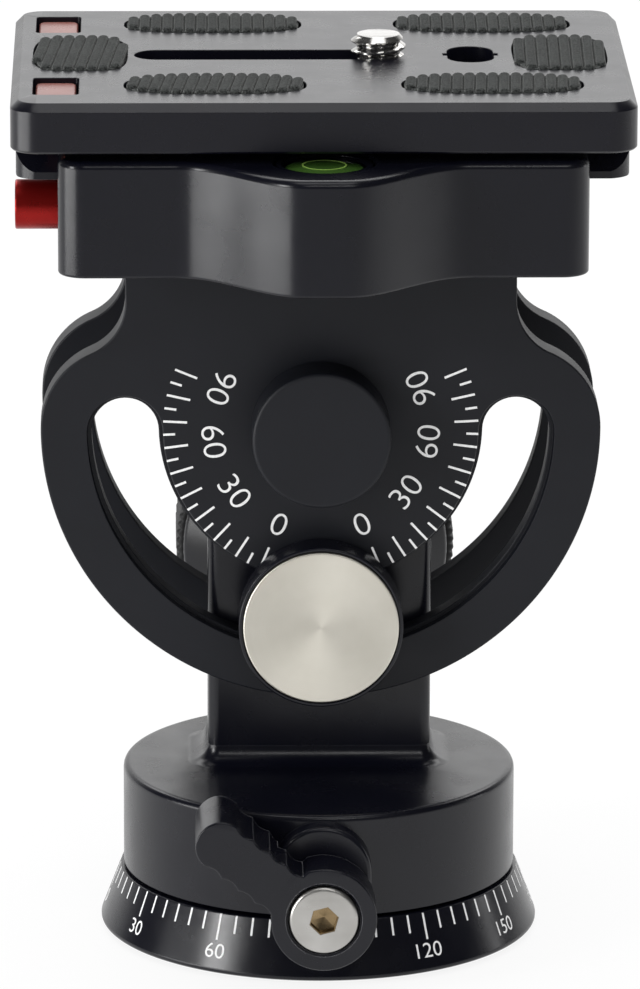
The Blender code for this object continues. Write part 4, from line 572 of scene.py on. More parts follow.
def bridge(shape, first, second):
    """A closed band of faces between two rings with the same number of points."""
    for i, point in enumerate(first):
        j = (i + 1) % len(first)
        shape.faces.new((point, first[j], second[j], second[i]))


def outward(shape):
    """A bmesh with its faces turned outward."""
    bmesh.ops.recalc_face_normals(shape, faces=shape.faces)
    return shape


def counterclockwise(outline):
    """An outline, turned round where it runs clockwise."""
    area = 0
    for first, second in zip(outline, outline[1:] + outline[:1]):
        area += first[0] * second[1] - second[0] * first[1]
    return outline if area > 0 else list(reversed(outline))


def edges_of(shape, ring):
    """The edges of a bmesh round a ring of vertices."""
    pairs = list(zip(ring, ring[1:] + ring[:1]))
    return [shape.edges.get(pair) or shape.edges.new(pair) for pair in pairs]


def wall(shape, rings):
    """Joins rings of (outline, height) with bands, and returns the first and last ring."""
    made = [ring_of(shape, outline, height) for outline, height in rings]
    for first, second in zip(made, made[1:]):
        bridge(shape, first, second)
    return made[0], made[-1]


def fill(shape, *rings):
    """Fills a flat cap between an outer ring and any rings inside it."""
    edges = [edge for ring in rings for edge in edges_of(shape, ring)]
    bmesh.ops.triangle_fill(shape, use_beauty=True, use_dissolve=False, edges=edges)


def prism(outline, layers, through=(), pockets=()):
    """A closed body from an outline's layers, lowest first, with through holes and pockets.

    A hole or pocket is a list of (outline, height) rings that starts at the top.
    """
    shape = bmesh.new()
    bottom, top = wall(shape, [(grow(outline, growth), height) for height, growth in layers])
    top_rings = [top]
    bottom_rings = [bottom]
    for rings in through:
        first, last = wall(shape, rings)
        top_rings.append(first)
        bottom_rings.append(last)
    for rings in pockets:
        first, last = wall(shape, rings)
        top_rings.append(first)
        fill(shape, last)
    fill(shape, *top_rings)
    fill(shape, *bottom_rings)
    return outward(shape)


def lathe(profile, steps=LATHE_STEPS, hollow=False):
    """A body turned about local Z from (radius, height) points. A radius of zero is a pole.

    A hollow body's last point joins its first.
    """
    shape = bmesh.new()
    rings = []
    for radius, height in profile:
        if radius == 0:
            rings.append([shape.verts.new((0, 0, height))])
        else:
            rings.append(ring_of(shape, circle((0, 0), radius, steps), height))
    pairs = list(zip(rings, rings[1:]))
    if hollow:
        pairs.append((rings[-1], rings[0]))
    for first, second in pairs:
        if len(first) == 1 and len(second) == 1:
            continue
        if len(first) == 1 or len(second) == 1:
            pole, ring = (first[0], second) if len(first) == 1 else (second[0], first)
            for i in range(steps):
                shape.faces.new((pole, ring[i], ring[(i + 1) % steps]))
        else:
            bridge(shape, first, second)
    return outward(shape)


def turn_to(shape, direction, place=(0, 0, 0)):
    """Turns a bmesh made about local Z so that its Z points along a world axis, and places it."""
    angle, axis = TURNS[direction]
    matrix = Matrix.Translation(place) @ Matrix.Rotation(angle, 4, axis)
    bmesh.ops.transform(shape, matrix=matrix, verts=shape.verts)
    return shape


def merge(target, *others):
    """Adds the geometry of other bmeshes to one, as separate shells."""
    for other in others:
        mesh = bpy.data.meshes.new("merge")
        other.to_mesh(mesh)
        other.free()
        target.from_mesh(mesh)
        bpy.data.meshes.remove(mesh)
    return target


def as_object(name, shape):
    """A linked object from a bmesh."""
    mesh = bpy.data.meshes.new(name)
    shape.to_mesh(mesh)
    shape.free()
    obj = bpy.data.objects.new(name, mesh)
    bpy.context.scene.collection.objects.link(obj)
    return obj


def boolean(shape, others, operation):
    """One bmesh joined with or cut by others, as a new bmesh."""
    obj = as_object("boolean_target", shape)
    tools = [as_object("boolean_tool", other) for other in others]
    for tool in tools:
        modifier = obj.modifiers.new("boolean", "BOOLEAN")
        modifier.operation = operation
        modifier.solver = "EXACT"
        modifier.object = tool
    meshes = [used.data for used in [obj] + tools]
    result = copy_of(obj)
    for tool in tools:
        bpy.data.objects.remove(tool, do_unlink=True)
    for mesh in meshes:
        bpy.data.meshes.remove(mesh)
    return result


def show(name, shape, carrier, finish=None, sharp=SHARP_ANGLE, weighted=True):
    """A shown piece that rides on a node's body, with a finish by its slot name."""
    obj = as_object(name, shape)
    mesh = obj.data
    mesh.polygons.foreach_set("use_smooth", [True] * len(mesh.polygons))
    mesh.set_sharp_from_angle(angle=sharp)
    if weighted:
        modifier = obj.modifiers.new("weighted_normals", "WEIGHTED_NORMAL")
        modifier.keep_sharp = True
    mesh.materials.append(finishes[finish or slot_of_node[carrier]])
    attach(obj, body_of_node[carrier])
    return obj


def stand_in(node, shape, finish=None, sharp=SHARP_ANGLE, weighted=True):
    """A finer piece that stands for one CAD node."""
    obj = show(f"{node}_fine", shape, node, finish, sharp, weighted)
    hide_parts(node)
    return obj


def rod(radius, low, high, edge=FINE_EDGE, steps=MIDDLE_STEPS):
    """A round bar between two heights with rounded rims."""
    return lathe(soften([(0, high, 0), (radius, high, edge), (radius, low, edge), (0, low, 0)]), steps)


def bore(radius, low, high, direction, place, steps=HOLE_STEPS):
    """A cutter for a round hole between two heights along a world axis."""
    return turn_to(rod(radius, low, high, 0, steps), direction, place)


def sunk_bore(radius, low, high, *deeper):
    """A cutter's profile for a hole whose mouth is chamfered. Deeper points narrow its end."""
    return [
        (0, high + OVERRUN),
        (radius + FINE_EDGE + OVERRUN, high + OVERRUN),
        (radius, high - FINE_EDGE),
        (radius, low),
        *(deeper or [(0, low)]),
    ]


def block(low_x, high_x, low_y, high_y, low, high):
    """A plain cutter between two heights."""
    outline = [(low_x, low_y), (high_x, low_y), (high_x, high_y), (low_x, high_y)]
    return prism(outline, [(low, 0), (high, 0)])


def cut(node, shape, cutters, finish=None):
    """A finer piece for one CAD node, with its holes cut."""
    return stand_in(node, boolean(shape, cutters, "DIFFERENCE"), finish)


def turned(node, direction, place, points, steps=LATHE_STEPS, round_steps=ROUND_STEPS):
    """A finer piece for one CAD node, turned from (radius, height, corner radius) points."""
    shape = lathe(soften(points, steps=round_steps), steps)
    stand_in(node, turn_to(shape, direction, place))


def pan_base():
    """The graduated ring and the thread bush under it."""
    bush_room = BUSH_RADIUS + GAP
    profile = soften([
        (BASE_SHOULDER_RADIUS, BASE_HEIGHT, FINE_EDGE),
        (BASE_BULGE_RADIUS, BASE_BULGE_HEIGHT, BASE_BULGE_ROUND),
        (BASE_FOOT_RADIUS, 0, FINE_EDGE),
        (bush_room, 0, HAIR_EDGE),
        (bush_room, BASE_FLOOR, 0),
        (BASE_RECESS_RADIUS, BASE_FLOOR, 0),
        (BASE_RECESS_RADIUS, BASE_HEIGHT, HAIR_EDGE),
    ], closed=True)
    shape = lathe(profile, hollow=True)
    rooms = []
    for number in range(BASE_SCREW_COUNT):
        angle = math.tau * number / BASE_SCREW_COUNT + math.pi / 2
        place = (BASE_SCREW_CIRCLE * math.cos(angle), BASE_SCREW_CIRCLE * math.sin(angle), 0)
        room = lathe([
            (0, BASE_FLOOR + OVERRUN),
            (BASE_SCREW_BORE, BASE_FLOOR + OVERRUN),
            (BASE_SCREW_BORE, BASE_SCREW_ROOM_HEIGHT),
            (BASE_SCREW_ROOM_RADIUS, FINE_EDGE),
            (BASE_SCREW_ROOM_RADIUS, -OVERRUN),
            (0, -OVERRUN),
        ], ROOM_STEPS)
        rooms.append(turn_to(room, "+Z", place))
    cut("base_ring", shape, rooms)

    profile = [
        (BUSH_RADIUS, BUSH_HEIGHT),
        (BUSH_RADIUS, FINE_EDGE),
        (BUSH_RADIUS - FINE_EDGE, 0),
        (SOCKET_RADIUS + SOCKET_CHAMFER, 0),
    ]
    height = SOCKET_CHAMFER
    while height + SOCKET_PITCH < BUSH_HEIGHT:
        profile.append((SOCKET_RADIUS, height))
        profile.append((SOCKET_RADIUS + SOCKET_GROOVE, height + SOCKET_PITCH / 2))
        height += SOCKET_PITCH
    profile += [(SOCKET_RADIUS, height), (SOCKET_RADIUS, BUSH_HEIGHT)]
    stand_in("thread_bush", lathe(profile, PART_STEPS, hollow=True))


def cone_radius(height):
    """The radius of the graduated slope at a height."""
    share = (height - BASE_BULGE_HEIGHT) / (BASE_HEIGHT - BASE_BULGE_HEIGHT)
    return BASE_BULGE_RADIUS + (BASE_SHOULDER_RADIUS - BASE_BULGE_RADIUS) * share


def on_cone(angle, across, height, proud):
    """A point over the graduated slope, some way across from an angle. Ninety faces the lever."""
    turn = angle + across / cone_radius(height)
    radius = cone_radius(height) + proud
    return (-radius * math.cos(turn), -radius * math.sin(turn), height)


def tick(shape, width, low, high, at):
    """A thin mark between two heights. at(across, height, proud) gives a point of it."""
    half = width / 2
    layers = []
    for proud in (-MARK_PROUD, MARK_PROUD):
        corners = ((-half, low), (half, low), (half, high), (-half, high))
        layers.append([shape.verts.new(at(across, height, proud)) for across, height in corners])
    bridge(shape, *layers)
    shape.faces.new(list(reversed(layers[0])))
    shape.faces.new(layers[1])


def copy_of(obj):
    """An object's final mesh as a bmesh. The object goes."""
    bpy.context.view_layer.update()
    evaluated = obj.evaluated_get(bpy.context.evaluated_depsgraph_get())
    mesh = bpy.data.meshes.new_from_object(evaluated)
    shape = bmesh.new()
    shape.from_mesh(mesh)
    bpy.data.meshes.remove(mesh)
    bpy.data.objects.remove(obj, do_unlink=True)
    return shape


def text_shape(text, size, weight_share, width_share):
    """A number as a thin bmesh about the origin."""
    curve = bpy.data.curves.new("label", "FONT")
    curve.body = text
    curve.size = size
    curve.extrude = MARK_PROUD
    curve.offset = size * weight_share
    curve.align_x = "CENTER"
    curve.align_y = "CENTER"
    curve.resolution_u = 6
    label = bpy.data.objects.new("label", curve)
    bpy.context.scene.collection.objects.link(label)
    shape = copy_of(label)
    bpy.data.curves.remove(curve)
    ends = [sorted(vert.co[axis] for vert in shape.verts) for axis in (0, 1)]
    middle = [-(values[0] + values[-1]) / 2 for values in ends]
    bmesh.ops.translate(shape, vec=(*middle, 0), verts=shape.verts)
    bmesh.ops.scale(shape, vec=(width_share, 1, 1), verts=shape.verts)
    return shape


def pan_scale():
    """The ring's degree marks and numbers."""
    marks = bmesh.new()
    for value in range(0, 360, PAN_TICK_STEP):
        length = PAN_TICK_SHORT if value % PAN_LABEL_STEP else PAN_TICK_LONG
        at = functools.partial(on_cone, math.radians(value))
        tick(marks, PAN_TICK_WIDTH, PAN_TICK_TOP - length, PAN_TICK_TOP, at)
    for value in range(0, 360, PAN_LABEL_STEP):
        label = text_shape(str(value), PAN_LABEL_SIZE, PAN_LABEL_BOLD_SHARE, PAN_LABEL_WIDE_SHARE)
        for vert in label.verts:
            vert.co = on_cone(math.radians(value), vert.co.x, PAN_LABEL_Z + vert.co.y, vert.co.z)
        merge(marks, label)
    show("pan_scale_marks", outward(marks), "base_ring", "scale_white", weighted=False)


def post_body():
    """The post, with round edges and its round top about the hub."""
    foot = DRUM_TOP - 2 * OVERRUN
    half = POST_HALF_WIDTH
    outline = [(-half, foot), (half, foot)] + arc((0, HUB_Z), half, 0, math.pi, MIDDLE_STEPS)
    layers = rounding(-POST_BACK, -POST_FRONT, POST_CORNER, POST_CORNER, POST_EDGE_STEPS)
    return turn_to(prism(outline, layers), "-Y")


def foot_cove():
    """The cove between post and drum, in closely spaced outlines."""
    shape = bmesh.new()
    sections = [(FOOT_FILLET, DRUM_TOP - OVERRUN)]
    for sine, rise in quarter(FILLET_STEPS)[:-1]:
        sections.append((FOOT_FILLET * (1 - sine), DRUM_TOP + FOOT_FILLET * rise))
    rings = []
    for spread, height in sections:
        outline = round_box(
            POST_HALF_WIDTH + spread, POST_FRONT - spread, POST_BACK + spread, POST_CORNER + spread
        )
        rings.append((outline, height))
    inner = round_box(POST_HALF_WIDTH - EDGE, POST_FRONT + EDGE, POST_BACK - EDGE, POST_CORNER)
    rings.append((inner, DRUM_TOP + FOOT_FILLET))
    for ring in wall(shape, rings):
        fill(shape, ring)
    return outward(shape)


def boss_outline(more=0):
    """The arched boss from the front."""
    half = BOSS_HALF_WIDTH + more
    arch = arc((0, BOSS_TOP - BOSS_HALF_WIDTH), half, 0, math.pi, HOLE_STEPS)
    return [(-half, DRUM_BOTTOM - more), (half, DRUM_BOTTOM - more)] + arch


def pan_housing():
    """The drum, post and lever boss in one casting."""
    drum = lathe(soften([
        (0, DRUM_TOP, 0),
        (DRUM_RADIUS, DRUM_TOP, DRUM_EDGE),
        (DRUM_RADIUS, DRUM_BOTTOM, FINE_EDGE),
        (0, DRUM_BOTTOM, 0),
    ]))
    layers = rounding(DRUM_RADIUS / 2, BOSS_FRONT, 0, EDGE, EDGE_STEPS)
    boss = turn_to(prism(boss_outline(), layers), "-Y")
    housing = boolean(drum, [post_body(), foot_cove(), boss], "UNION")

    front = POST_FRONT - OVERRUN
    back = POST_BACK + OVERRUN
    bolt_room = lathe([
        (0, back),
        (FRICTION_ROOM, back),
        (FRICTION_ROOM, POST_BACK - FRICTION_DEPTH),
        (KNOB_BOLT_ROOM, POST_BACK - FRICTION_DEPTH),
        (KNOB_BOLT_ROOM, POST_FRONT + FRICTION_DEPTH),
        (FRICTION_ROOM, POST_FRONT + FRICTION_DEPTH),
        (FRICTION_ROOM, front),
        (0, front),
    ], ROOM_STEPS)
    lever_axis = (0, 0, LEVER_Z)
    cut("pan_housing", housing, [
        rod(CAVITY_RADIUS, DRUM_BOTTOM - OVERRUN, SPINDLE_TOP + GAP, 0, PART_STEPS),
        bore(SHOE_ROOM_RADIUS, 0, BOSS_FRONT + OVERRUN, "-Y", lever_axis),
        bore(SHOE_ROOM_RADIUS, 0, DRUM_RADIUS + OVERRUN, "+Y", lever_axis, ROOM_STEPS),
        bore(SHAFT_BUSH_ROOM, front, back, "+Y", (0, 0, HUB_Z), ROOM_STEPS),
        turn_to(bolt_room, "+Y", (0, 0, BOLT_Z)),
    ])


def bolt_caps():
    """The round cap over the clamp bolt, and the bright disc set into it."""
    place = (0, 0, BOLT_Z)
    turned("front_cap", "-Y", place, [
        (0, CAP_DISC_BACK - GAP, 0),
        (CAP_DISC_RADIUS + HAIR_EDGE, CAP_DISC_BACK - GAP, 0),
        (CAP_DISC_RADIUS + HAIR_EDGE, CAP_FRONT, HAIR_EDGE),
        (CAP_RADIUS, CAP_FRONT, FINE_EDGE),
        (CAP_RADIUS, CAP_BACK, FINE_EDGE),
        (CAP_BORE, CAP_BACK, 0),
        (CAP_BORE, CAP_BORE_END, 0),
        (0, CAP_BORE_END, 0),
    ])
    profile = soften([
        (0, CAP_DISC_FRONT, 0),
        (CAP_DISC_RADIUS, CAP_DISC_FRONT, FINE_EDGE),
        (CAP_DISC_RADIUS, CAP_DISC_BACK, 0),
        (0, CAP_DISC_BACK, 0),
    ], steps=SOFT_STEPS)
    profile[1:1] = [(CAP_DISC_RADIUS * share, CAP_DISC_FRONT) for share in DISC_RING_SHARES]
    stand_in("cap_disc", turn_to(lathe(profile, DISC_STEPS), "-Y", place))


def knob_grip(radius, inner, ribs, low, high):
    """A ribbed rubber sleeve about local Z with round ribs and softened rims."""
    points_per_rib = 6
    count = ribs * points_per_rib

    def ring(sine):
        points = []
        for i in range(count):
            angle = math.tau * i / count
            wave = abs(math.sin(math.pi * i / points_per_rib))
            reach = radius - KNOB_GRIP_EDGE * (1 - sine) - KNOB_RIB_DEPTH * (1 - wave) * sine
            points.append((reach * math.cos(angle), reach * math.sin(angle)))
        return points

    shape = bmesh.new()
    turns = quarter(EDGE_STEPS)
    inner_ring = circle((0, 0), inner, count)
    rings = [(inner_ring, low)]
    rings += [(ring(sine), low + KNOB_GRIP_EDGE * rise) for sine, rise in turns]
    rings += [(ring(sine), high - KNOB_GRIP_EDGE * rise) for sine, rise in reversed(turns)]
    rings.append((inner_ring, high))
    first, last = wall(shape, rings)
    bridge(shape, last, first)
    return outward(shape)


def tilt_knob():
    """The knob behind the head: flared core, ribbed grip and end cap."""
    place = (0, 0, BOLT_Z)
    turned("tilt_knob_core", "+Y", place, [
        (0, KNOB_CAP_LOW - GAP, 0),
        (KNOB_CAP_RADIUS + GAP, KNOB_CAP_LOW - GAP, 0),
        (KNOB_CAP_RADIUS + GAP, KNOB_GRIP_BACK, FINE_EDGE),
        (KNOB_CORE_RADIUS, KNOB_GRIP_BACK, FINE_EDGE),
        (KNOB_CORE_RADIUS, KNOB_GRIP_FRONT - GAP, 0),
        (KNOB_LIP_RADIUS, KNOB_GRIP_FRONT - GAP, FINE_EDGE),
        (KNOB_LIP_RADIUS, KNOB_FLARE_END, KNOB_FLARE_ROUND),
        (KNOB_NECK_RADIUS, KNOB_NECK_END, KNOB_FLARE_ROUND),
        (KNOB_NECK_RADIUS, KNOB_START, FINE_EDGE),
        (KNOB_BOLT_ROOM, KNOB_START, 0),
        (KNOB_BOLT_ROOM, KNOB_BOLT_ROOM_END, 0),
        (0, KNOB_BOLT_ROOM_END, 0),
    ])
    grip = knob_grip(
        KNOB_RADIUS, KNOB_CORE_RADIUS + GAP, KNOB_RIBS, KNOB_GRIP_FRONT, KNOB_GRIP_BACK
    )
    stand_in("tilt_knob_grip", turn_to(grip, "+Y", place), sharp=RIB_SHARP_ANGLE)
    line_in = KNOB_CAP_RADIUS * KNOB_CAP_LINE_SHARE
    turned("tilt_knob_cap", "+Y", place, [
        (0, KNOB_CAP_HIGH - HAIR_EDGE, 0),
        (line_in - EDGE, KNOB_CAP_HIGH - HAIR_EDGE, HAIR_EDGE),
        (line_in, KNOB_CAP_HIGH, HAIR_EDGE),
        (KNOB_CAP_RADIUS, KNOB_CAP_HIGH, EDGE),
        (KNOB_CAP_RADIUS, KNOB_CAP_LOW, 0),
        (0, KNOB_CAP_LOW, 0),
    ])


def lever_outline():
    """The lever from the front about its own axis: round hub and an arm with scalloped sides."""
    along = (math.cos(LEVER_ARM_ANGLE), math.sin(LEVER_ARM_ANGLE))
    half = LEVER_ARM_WIDTH / 2
    scallop_length = (LEVER_ARM_REACH - LEVER_ARM_START - LEVER_TIP_RADIUS) / LEVER_SCALLOPS
    points_per_scallop = 14
    upper = []
    for i in range(LEVER_SCALLOPS * points_per_scallop + 1):
        share = i / points_per_scallop
        dip = LEVER_SCALLOP * abs(math.sin(math.pi * share))
        upper.append((LEVER_ARM_START + scallop_length * share, half - dip))
    tip_middle = (LEVER_ARM_REACH - LEVER_TIP_RADIUS, half - LEVER_TIP_RADIUS)
    upper += arc(tip_middle, LEVER_TIP_RADIUS, math.pi / 2, 0, TIP_STEPS)[1:]
    lower = [(distance, -offset) for distance, offset in reversed(upper)]
    start_angle = math.atan2(half, LEVER_ARM_START)
    hub = arc((0, 0), LEVER_HUB_RADIUS, -start_angle, start_angle - math.tau, HUB_STEPS)[1:-1]
    arm = [(distance, offset - LEVER_ARM_DROP) for distance, offset in upper + lower]
    return counterclockwise([
        (along[0] * distance + along[1] * offset, along[1] * distance - along[0] * offset)
        for distance, offset in arm + hub
    ])


def hexagon(radius):
    """The lever screw's hexagon, leaning as it stands in the photograph."""
    return arc((0, 0), radius, LEVER_HEX_LEAN, LEVER_HEX_LEAN + math.tau, 6)[:-1]


def pan_lever():
    """The lever that locks the pan, and its screw."""
    place = (0, 0, LEVER_Z)
    layers = rounding(LEVER_ARM_BACK, LEVER_FRONT, 0, LEVER_EDGE, EDGE_STEPS)
    lever = turn_to(prism(lever_outline(), layers), "-Y", place)
    boss_room = prism(boss_outline(2 * GAP), [(0, 0), (LEVER_BACK, 0)])
    head_front = LEVER_FRONT + LEVER_SCREW_PROUD
    head_back = head_front - LEVER_SCREW_HEAD_HEIGHT
    shank = LEVER_SCREW_RADIUS + GAP
    screw_room = lathe(sunk_bore(
        LEVER_SCREW_ROOM, head_back - GAP, LEVER_FRONT, (shank, head_back - GAP), (shank, 0), (0, 0)
    ), PART_STEPS)
    # The lever's finish paints a light highlight along its edges.
    cut("pan_lever", lever, [
        bore(LEVER_KEEP_OUT, 0, LEVER_BACK, "-Y", place, PART_STEPS),
        turn_to(boss_room, "-Y"),
        rod(DRUM_RADIUS + LEVER_DRUM_ROOM, 0, DRUM_TOP + LEVER_ARM_REACH, 0),
        turn_to(screw_room, "-Y", place),
    ], "lever_anodised")

    reach = LEVER_FRONT - LEVER_SCREW_REACH
    profile = soften([
        (0, head_front, 0),
        (LEVER_SCREW_HEAD_RADIUS, head_front, EDGE),
        (LEVER_SCREW_HEAD_RADIUS, head_back, FINE_EDGE),
        (LEVER_SCREW_RADIUS, head_back, 0),
        (LEVER_SCREW_RADIUS, reach, FINE_EDGE),
        (0, reach, 0),
    ])
    floor = head_front - LEVER_HEX_DEPTH
    recess = prism(hexagon(LEVER_HEX), [(floor, 0), (head_front + OVERRUN, 0)])
    screw = boolean(lathe(profile, PART_STEPS), [recess], "DIFFERENCE")
    stand_in("lever_screw", turn_to(screw, "-Y", place))
    inner = LEVER_HEX - HAIR_EDGE
    rings = [
        (hexagon(inner), head_front - HAIR_EDGE),
        (hexagon(inner), floor + 2 * FINE_EDGE),
        (hexagon(HAIR_EDGE), floor + HAIR_EDGE),
    ]
    layers = [(floor, -MARK_PROUD), (head_front - HAIR_EDGE, -MARK_PROUD)]
    socket = prism(hexagon(LEVER_HEX), layers, pockets=[rings])
    show("lever_screw_socket", turn_to(socket, "-Y", place), "lever_screw", "bronze")


def slot_outline(half_width):
    """The arc slot about the hub, from one side under it to the other."""
    low = -math.pi / 2 - SLOT_END_ANGLE
    high = -math.pi / 2 + SLOT_END_ANGLE
    outer = arc((0, HUB_Z), SLOT_RADIUS + half_width, low, high, PART_STEPS)
    inner = arc((0, HUB_Z), SLOT_RADIUS - half_width, high, low, PART_STEPS)
    ends = []
    for angle, start in ((high, high), (low, low + math.pi)):
        middle = (SLOT_RADIUS * math.cos(angle), HUB_Z + SLOT_RADIUS * math.sin(angle))
        ends.append(arc(middle, half_width, start, start + math.pi, SLOT_END_STEPS)[1:-1])
    return outer + ends[0] + inner + ends[1]


def arc_plate_outline():
    """A plate from the front: neck, coved shoulders, and the round edge about the hub."""
    shoulder = ARC_RADIUS - SLOT_RADIUS
    reach = shoulder + NECK_FILLET
    cove_x = NECK_HALF_WIDTH + NECK_FILLET
    rise = math.sqrt(reach ** 2 - (cove_x - SLOT_RADIUS) ** 2)
    meet = math.atan2(rise, cove_x - SLOT_RADIUS)
    right = [(NECK_HALF_WIDTH, PLATE_TOP)]
    right += arc((cove_x, HUB_Z + rise), NECK_FILLET, math.pi, math.pi + meet, COVE_STEPS)
    right += arc((SLOT_RADIUS, HUB_Z), shoulder, meet, 0, COVE_STEPS)[1:]
    round_edge = arc((0, HUB_Z), ARC_RADIUS, 0, -math.pi, LATHE_STEPS)[1:-1]
    left = [(-x, z) for x, z in reversed(right)]
    return list(reversed(right + round_edge + left))


def arc_plates():
    """The two arc plates with their slots, and the caps over the shaft's ends."""
    face_half = SLOT_HALF_WIDTH + SLOT_LEDGE
    rims = ((PLATE_EDGE, 0), (PLATE_EDGE / 2, PLATE_EDGE * RIM_SHARE), (0, PLATE_EDGE))
    for node, direction, flip, inner_height, outer_height in (
        ("front_plate", "-Y", 1, -FRONT_PLATE_BACK, -FRONT_FACE),
        ("rear_plate", "+Y", -1, REAR_PLATE_FRONT, REAR_FACE),
    ):
        ledge = outer_height - SLOT_LEDGE_DEPTH
        slot = [(face_half + more, outer_height - down) for more, down in rims]
        slot += [
            (face_half, ledge),
            (SLOT_HALF_WIDTH + HAIR_EDGE, ledge),
            (SLOT_HALF_WIDTH, ledge - HAIR_EDGE),
        ]
        slot += [(SLOT_HALF_WIDTH + more, inner_height + down) for more, down in reversed(rims)]
        rings = [([(x, flip * z) for x, z in slot_outline(half)], height) for half, height in slot]
        outline = counterclockwise([(x, flip * z) for x, z in arc_plate_outline()])
        layers = rounding(inner_height, outer_height, PLATE_EDGE, PLATE_EDGE)
        stand_in(node, turn_to(prism(outline, layers, through=[rings]), direction))

    for node, direction, start, end, room_end in (
        ("front_hub_cap", "-Y", HUB_CAP_START, HUB_CAP_FRONT, HUB_CAP_BORE_END),
        ("rear_hub_cap", "+Y", REAR_HUB_CAP_START, HUB_CAP_REAR, REAR_HUB_CAP_BORE_END),
    ):
        turned(node, direction, (0, 0, HUB_Z), [
            (0, end, 0),
            (HUB_CAP_RADIUS, end, EDGE),
            (HUB_CAP_RADIUS, start, HAIR_EDGE),
            (SHAFT_ROOM_RADIUS, start, 0),
            (SHAFT_ROOM_RADIUS, room_end, 0),
            (0, room_end, 0),
        ], round_steps=SOFT_STEPS)


def on_plate(angle, across, radius, proud):
    """A point over the front plate's face, some way across from an angle off straight down."""
    turn = angle + across / radius
    return (radius * math.sin(turn), FRONT_FACE - proud, HUB_Z - radius * math.cos(turn))


def tilt_scale():
    """The two degree scales on the front plate, with their numbers."""
    marks = bmesh.new()
    for side in SIDES:
        for value in range(0, TILT_SCALE_END + 1, TILT_TICK_STEP):
            inner = TILT_TICK_SHORT if value % (2 * TILT_TICK_STEP) else TILT_TICK_LONG
            at = functools.partial(on_plate, side * math.radians(TILT_SCALE_START + value))
            tick(marks, TILT_TICK_WIDTH, inner, TILT_TICK_OUTER, at)
        for value in range(0, TILT_SCALE_END + 1, TILT_LABEL_STEP):
            angle = side * math.radians(TILT_SCALE_START + value)
            label = text_shape(
                str(value), TILT_LABEL_SIZE, TILT_LABEL_THIN_SHARE, TILT_LABEL_WIDE_SHARE
            )
            for vert in label.verts:
                across, up, proud = vert.co
                x, y, z = on_plate(angle, 0, TILT_LABEL_RADIUS, proud)
                x += across * math.cos(angle) - up * math.sin(angle)
                z += across * math.sin(angle) + up * math.cos(angle)
                vert.co = (x, y, z)
            merge(marks, label)
    show("tilt_scale_marks", outward(marks), "front_plate", "scale_white", weighted=False)


def nose_curve():
    """The clamp's front edge from left to right, with the nose as a smooth wave."""
    steps = 36
    half = []
    for i in range(steps + 1):
        share = i / steps
        x = NOSE_HALF_WIDTH + (NOSE_FLAT_HALF_WIDTH - NOSE_HALF_WIDTH) * share
        y = CLAMP_FRONT_Y - NOSE_REACH * (1 - math.cos(math.pi * share)) / 2
        half.append((x, y))
    return [(-x, y) for x, y in half] + list(reversed(half))


def clamp_corner(side, y, start):
    """A quarter turn round a corner of the clamp or the jaw, from above."""
    middle = (side * (CLAMP_HALF_LENGTH - CLAMP_CORNER), y)
    return arc(middle, CLAMP_CORNER, start, start + math.pi / 2, CORNER_STEPS)


def clamp_outline():
    """The fixed part of the clamp from above."""
    left = clamp_corner(-1, CLAMP_FRONT_Y + CLAMP_CORNER, math.pi)
    right = clamp_corner(1, CLAMP_FRONT_Y + CLAMP_CORNER, -math.pi / 2)
    back = [(CLAMP_HALF_LENGTH, CLAMP_REAR_Y), (-CLAMP_HALF_LENGTH, CLAMP_REAR_Y)]
    return left + nose_curve() + right + back


def dovetail_section(more):
    """The rail's outline from its end, as (y, z) points, grown to make room for it."""
    low = RAIL_BOTTOM - more
    foot = RAIL_BOTTOM + DOVETAIL_FOOT + more
    waist = foot + DOVETAIL_FLANK
    wide = DOVETAIL_HALF_WIDTH + more
    narrow = wide - DOVETAIL_FLANK
    top = SLAB_BOTTOM + (OVERRUN if more else EDGE)
    half = [(wide, low), (wide, foot), (narrow, waist), (narrow, top)]
    other = [(-y, z) for y, z in reversed(half)]
    return [(UPPER_Y + y, z) for y, z in half + other]


def along_x(section, half_length, edge=0):
    """A straight piece along X from a (y, z) outline, symmetric about the middle."""
    outline = counterclockwise([(-z, y) for y, z in section])
    return turn_to(prism(outline, rounding(-half_length, half_length, edge, edge)), "+X")


def clamp_block(outline):
    """A part of the clamp from above, with its round edges."""
    layers = rounding(CLAMP_BOTTOM, CLAMP_TOP, CLAMP_LOWER_EDGE, CLAMP_EDGE, SOFT_STEPS)
    return prism(outline, layers)


def jaw_bores(low, high, seat_low, seat_high, pin_low):
    """Cutters for the clamp's rail, screw, guide pins and springs."""
    cutters = [
        along_x(dovetail_section(GAP), CLAMP_HALF_LENGTH + OVERRUN),
        bore(CLAMP_SCREW_ROOM, low, high, "+Y", (0, 0, JAW_AXIS_Z)),
    ]
    for side in SIDES:
        place = (side * JAW_PIN_X, 0, JAW_AXIS_Z)
        cutters.append(bore(JAW_PIN_ROOM, pin_low, high, "+Y", place))
        cutters.append(bore(JAW_SPRING_ROOM, seat_low, seat_high, "+Y", place))
    return cutters


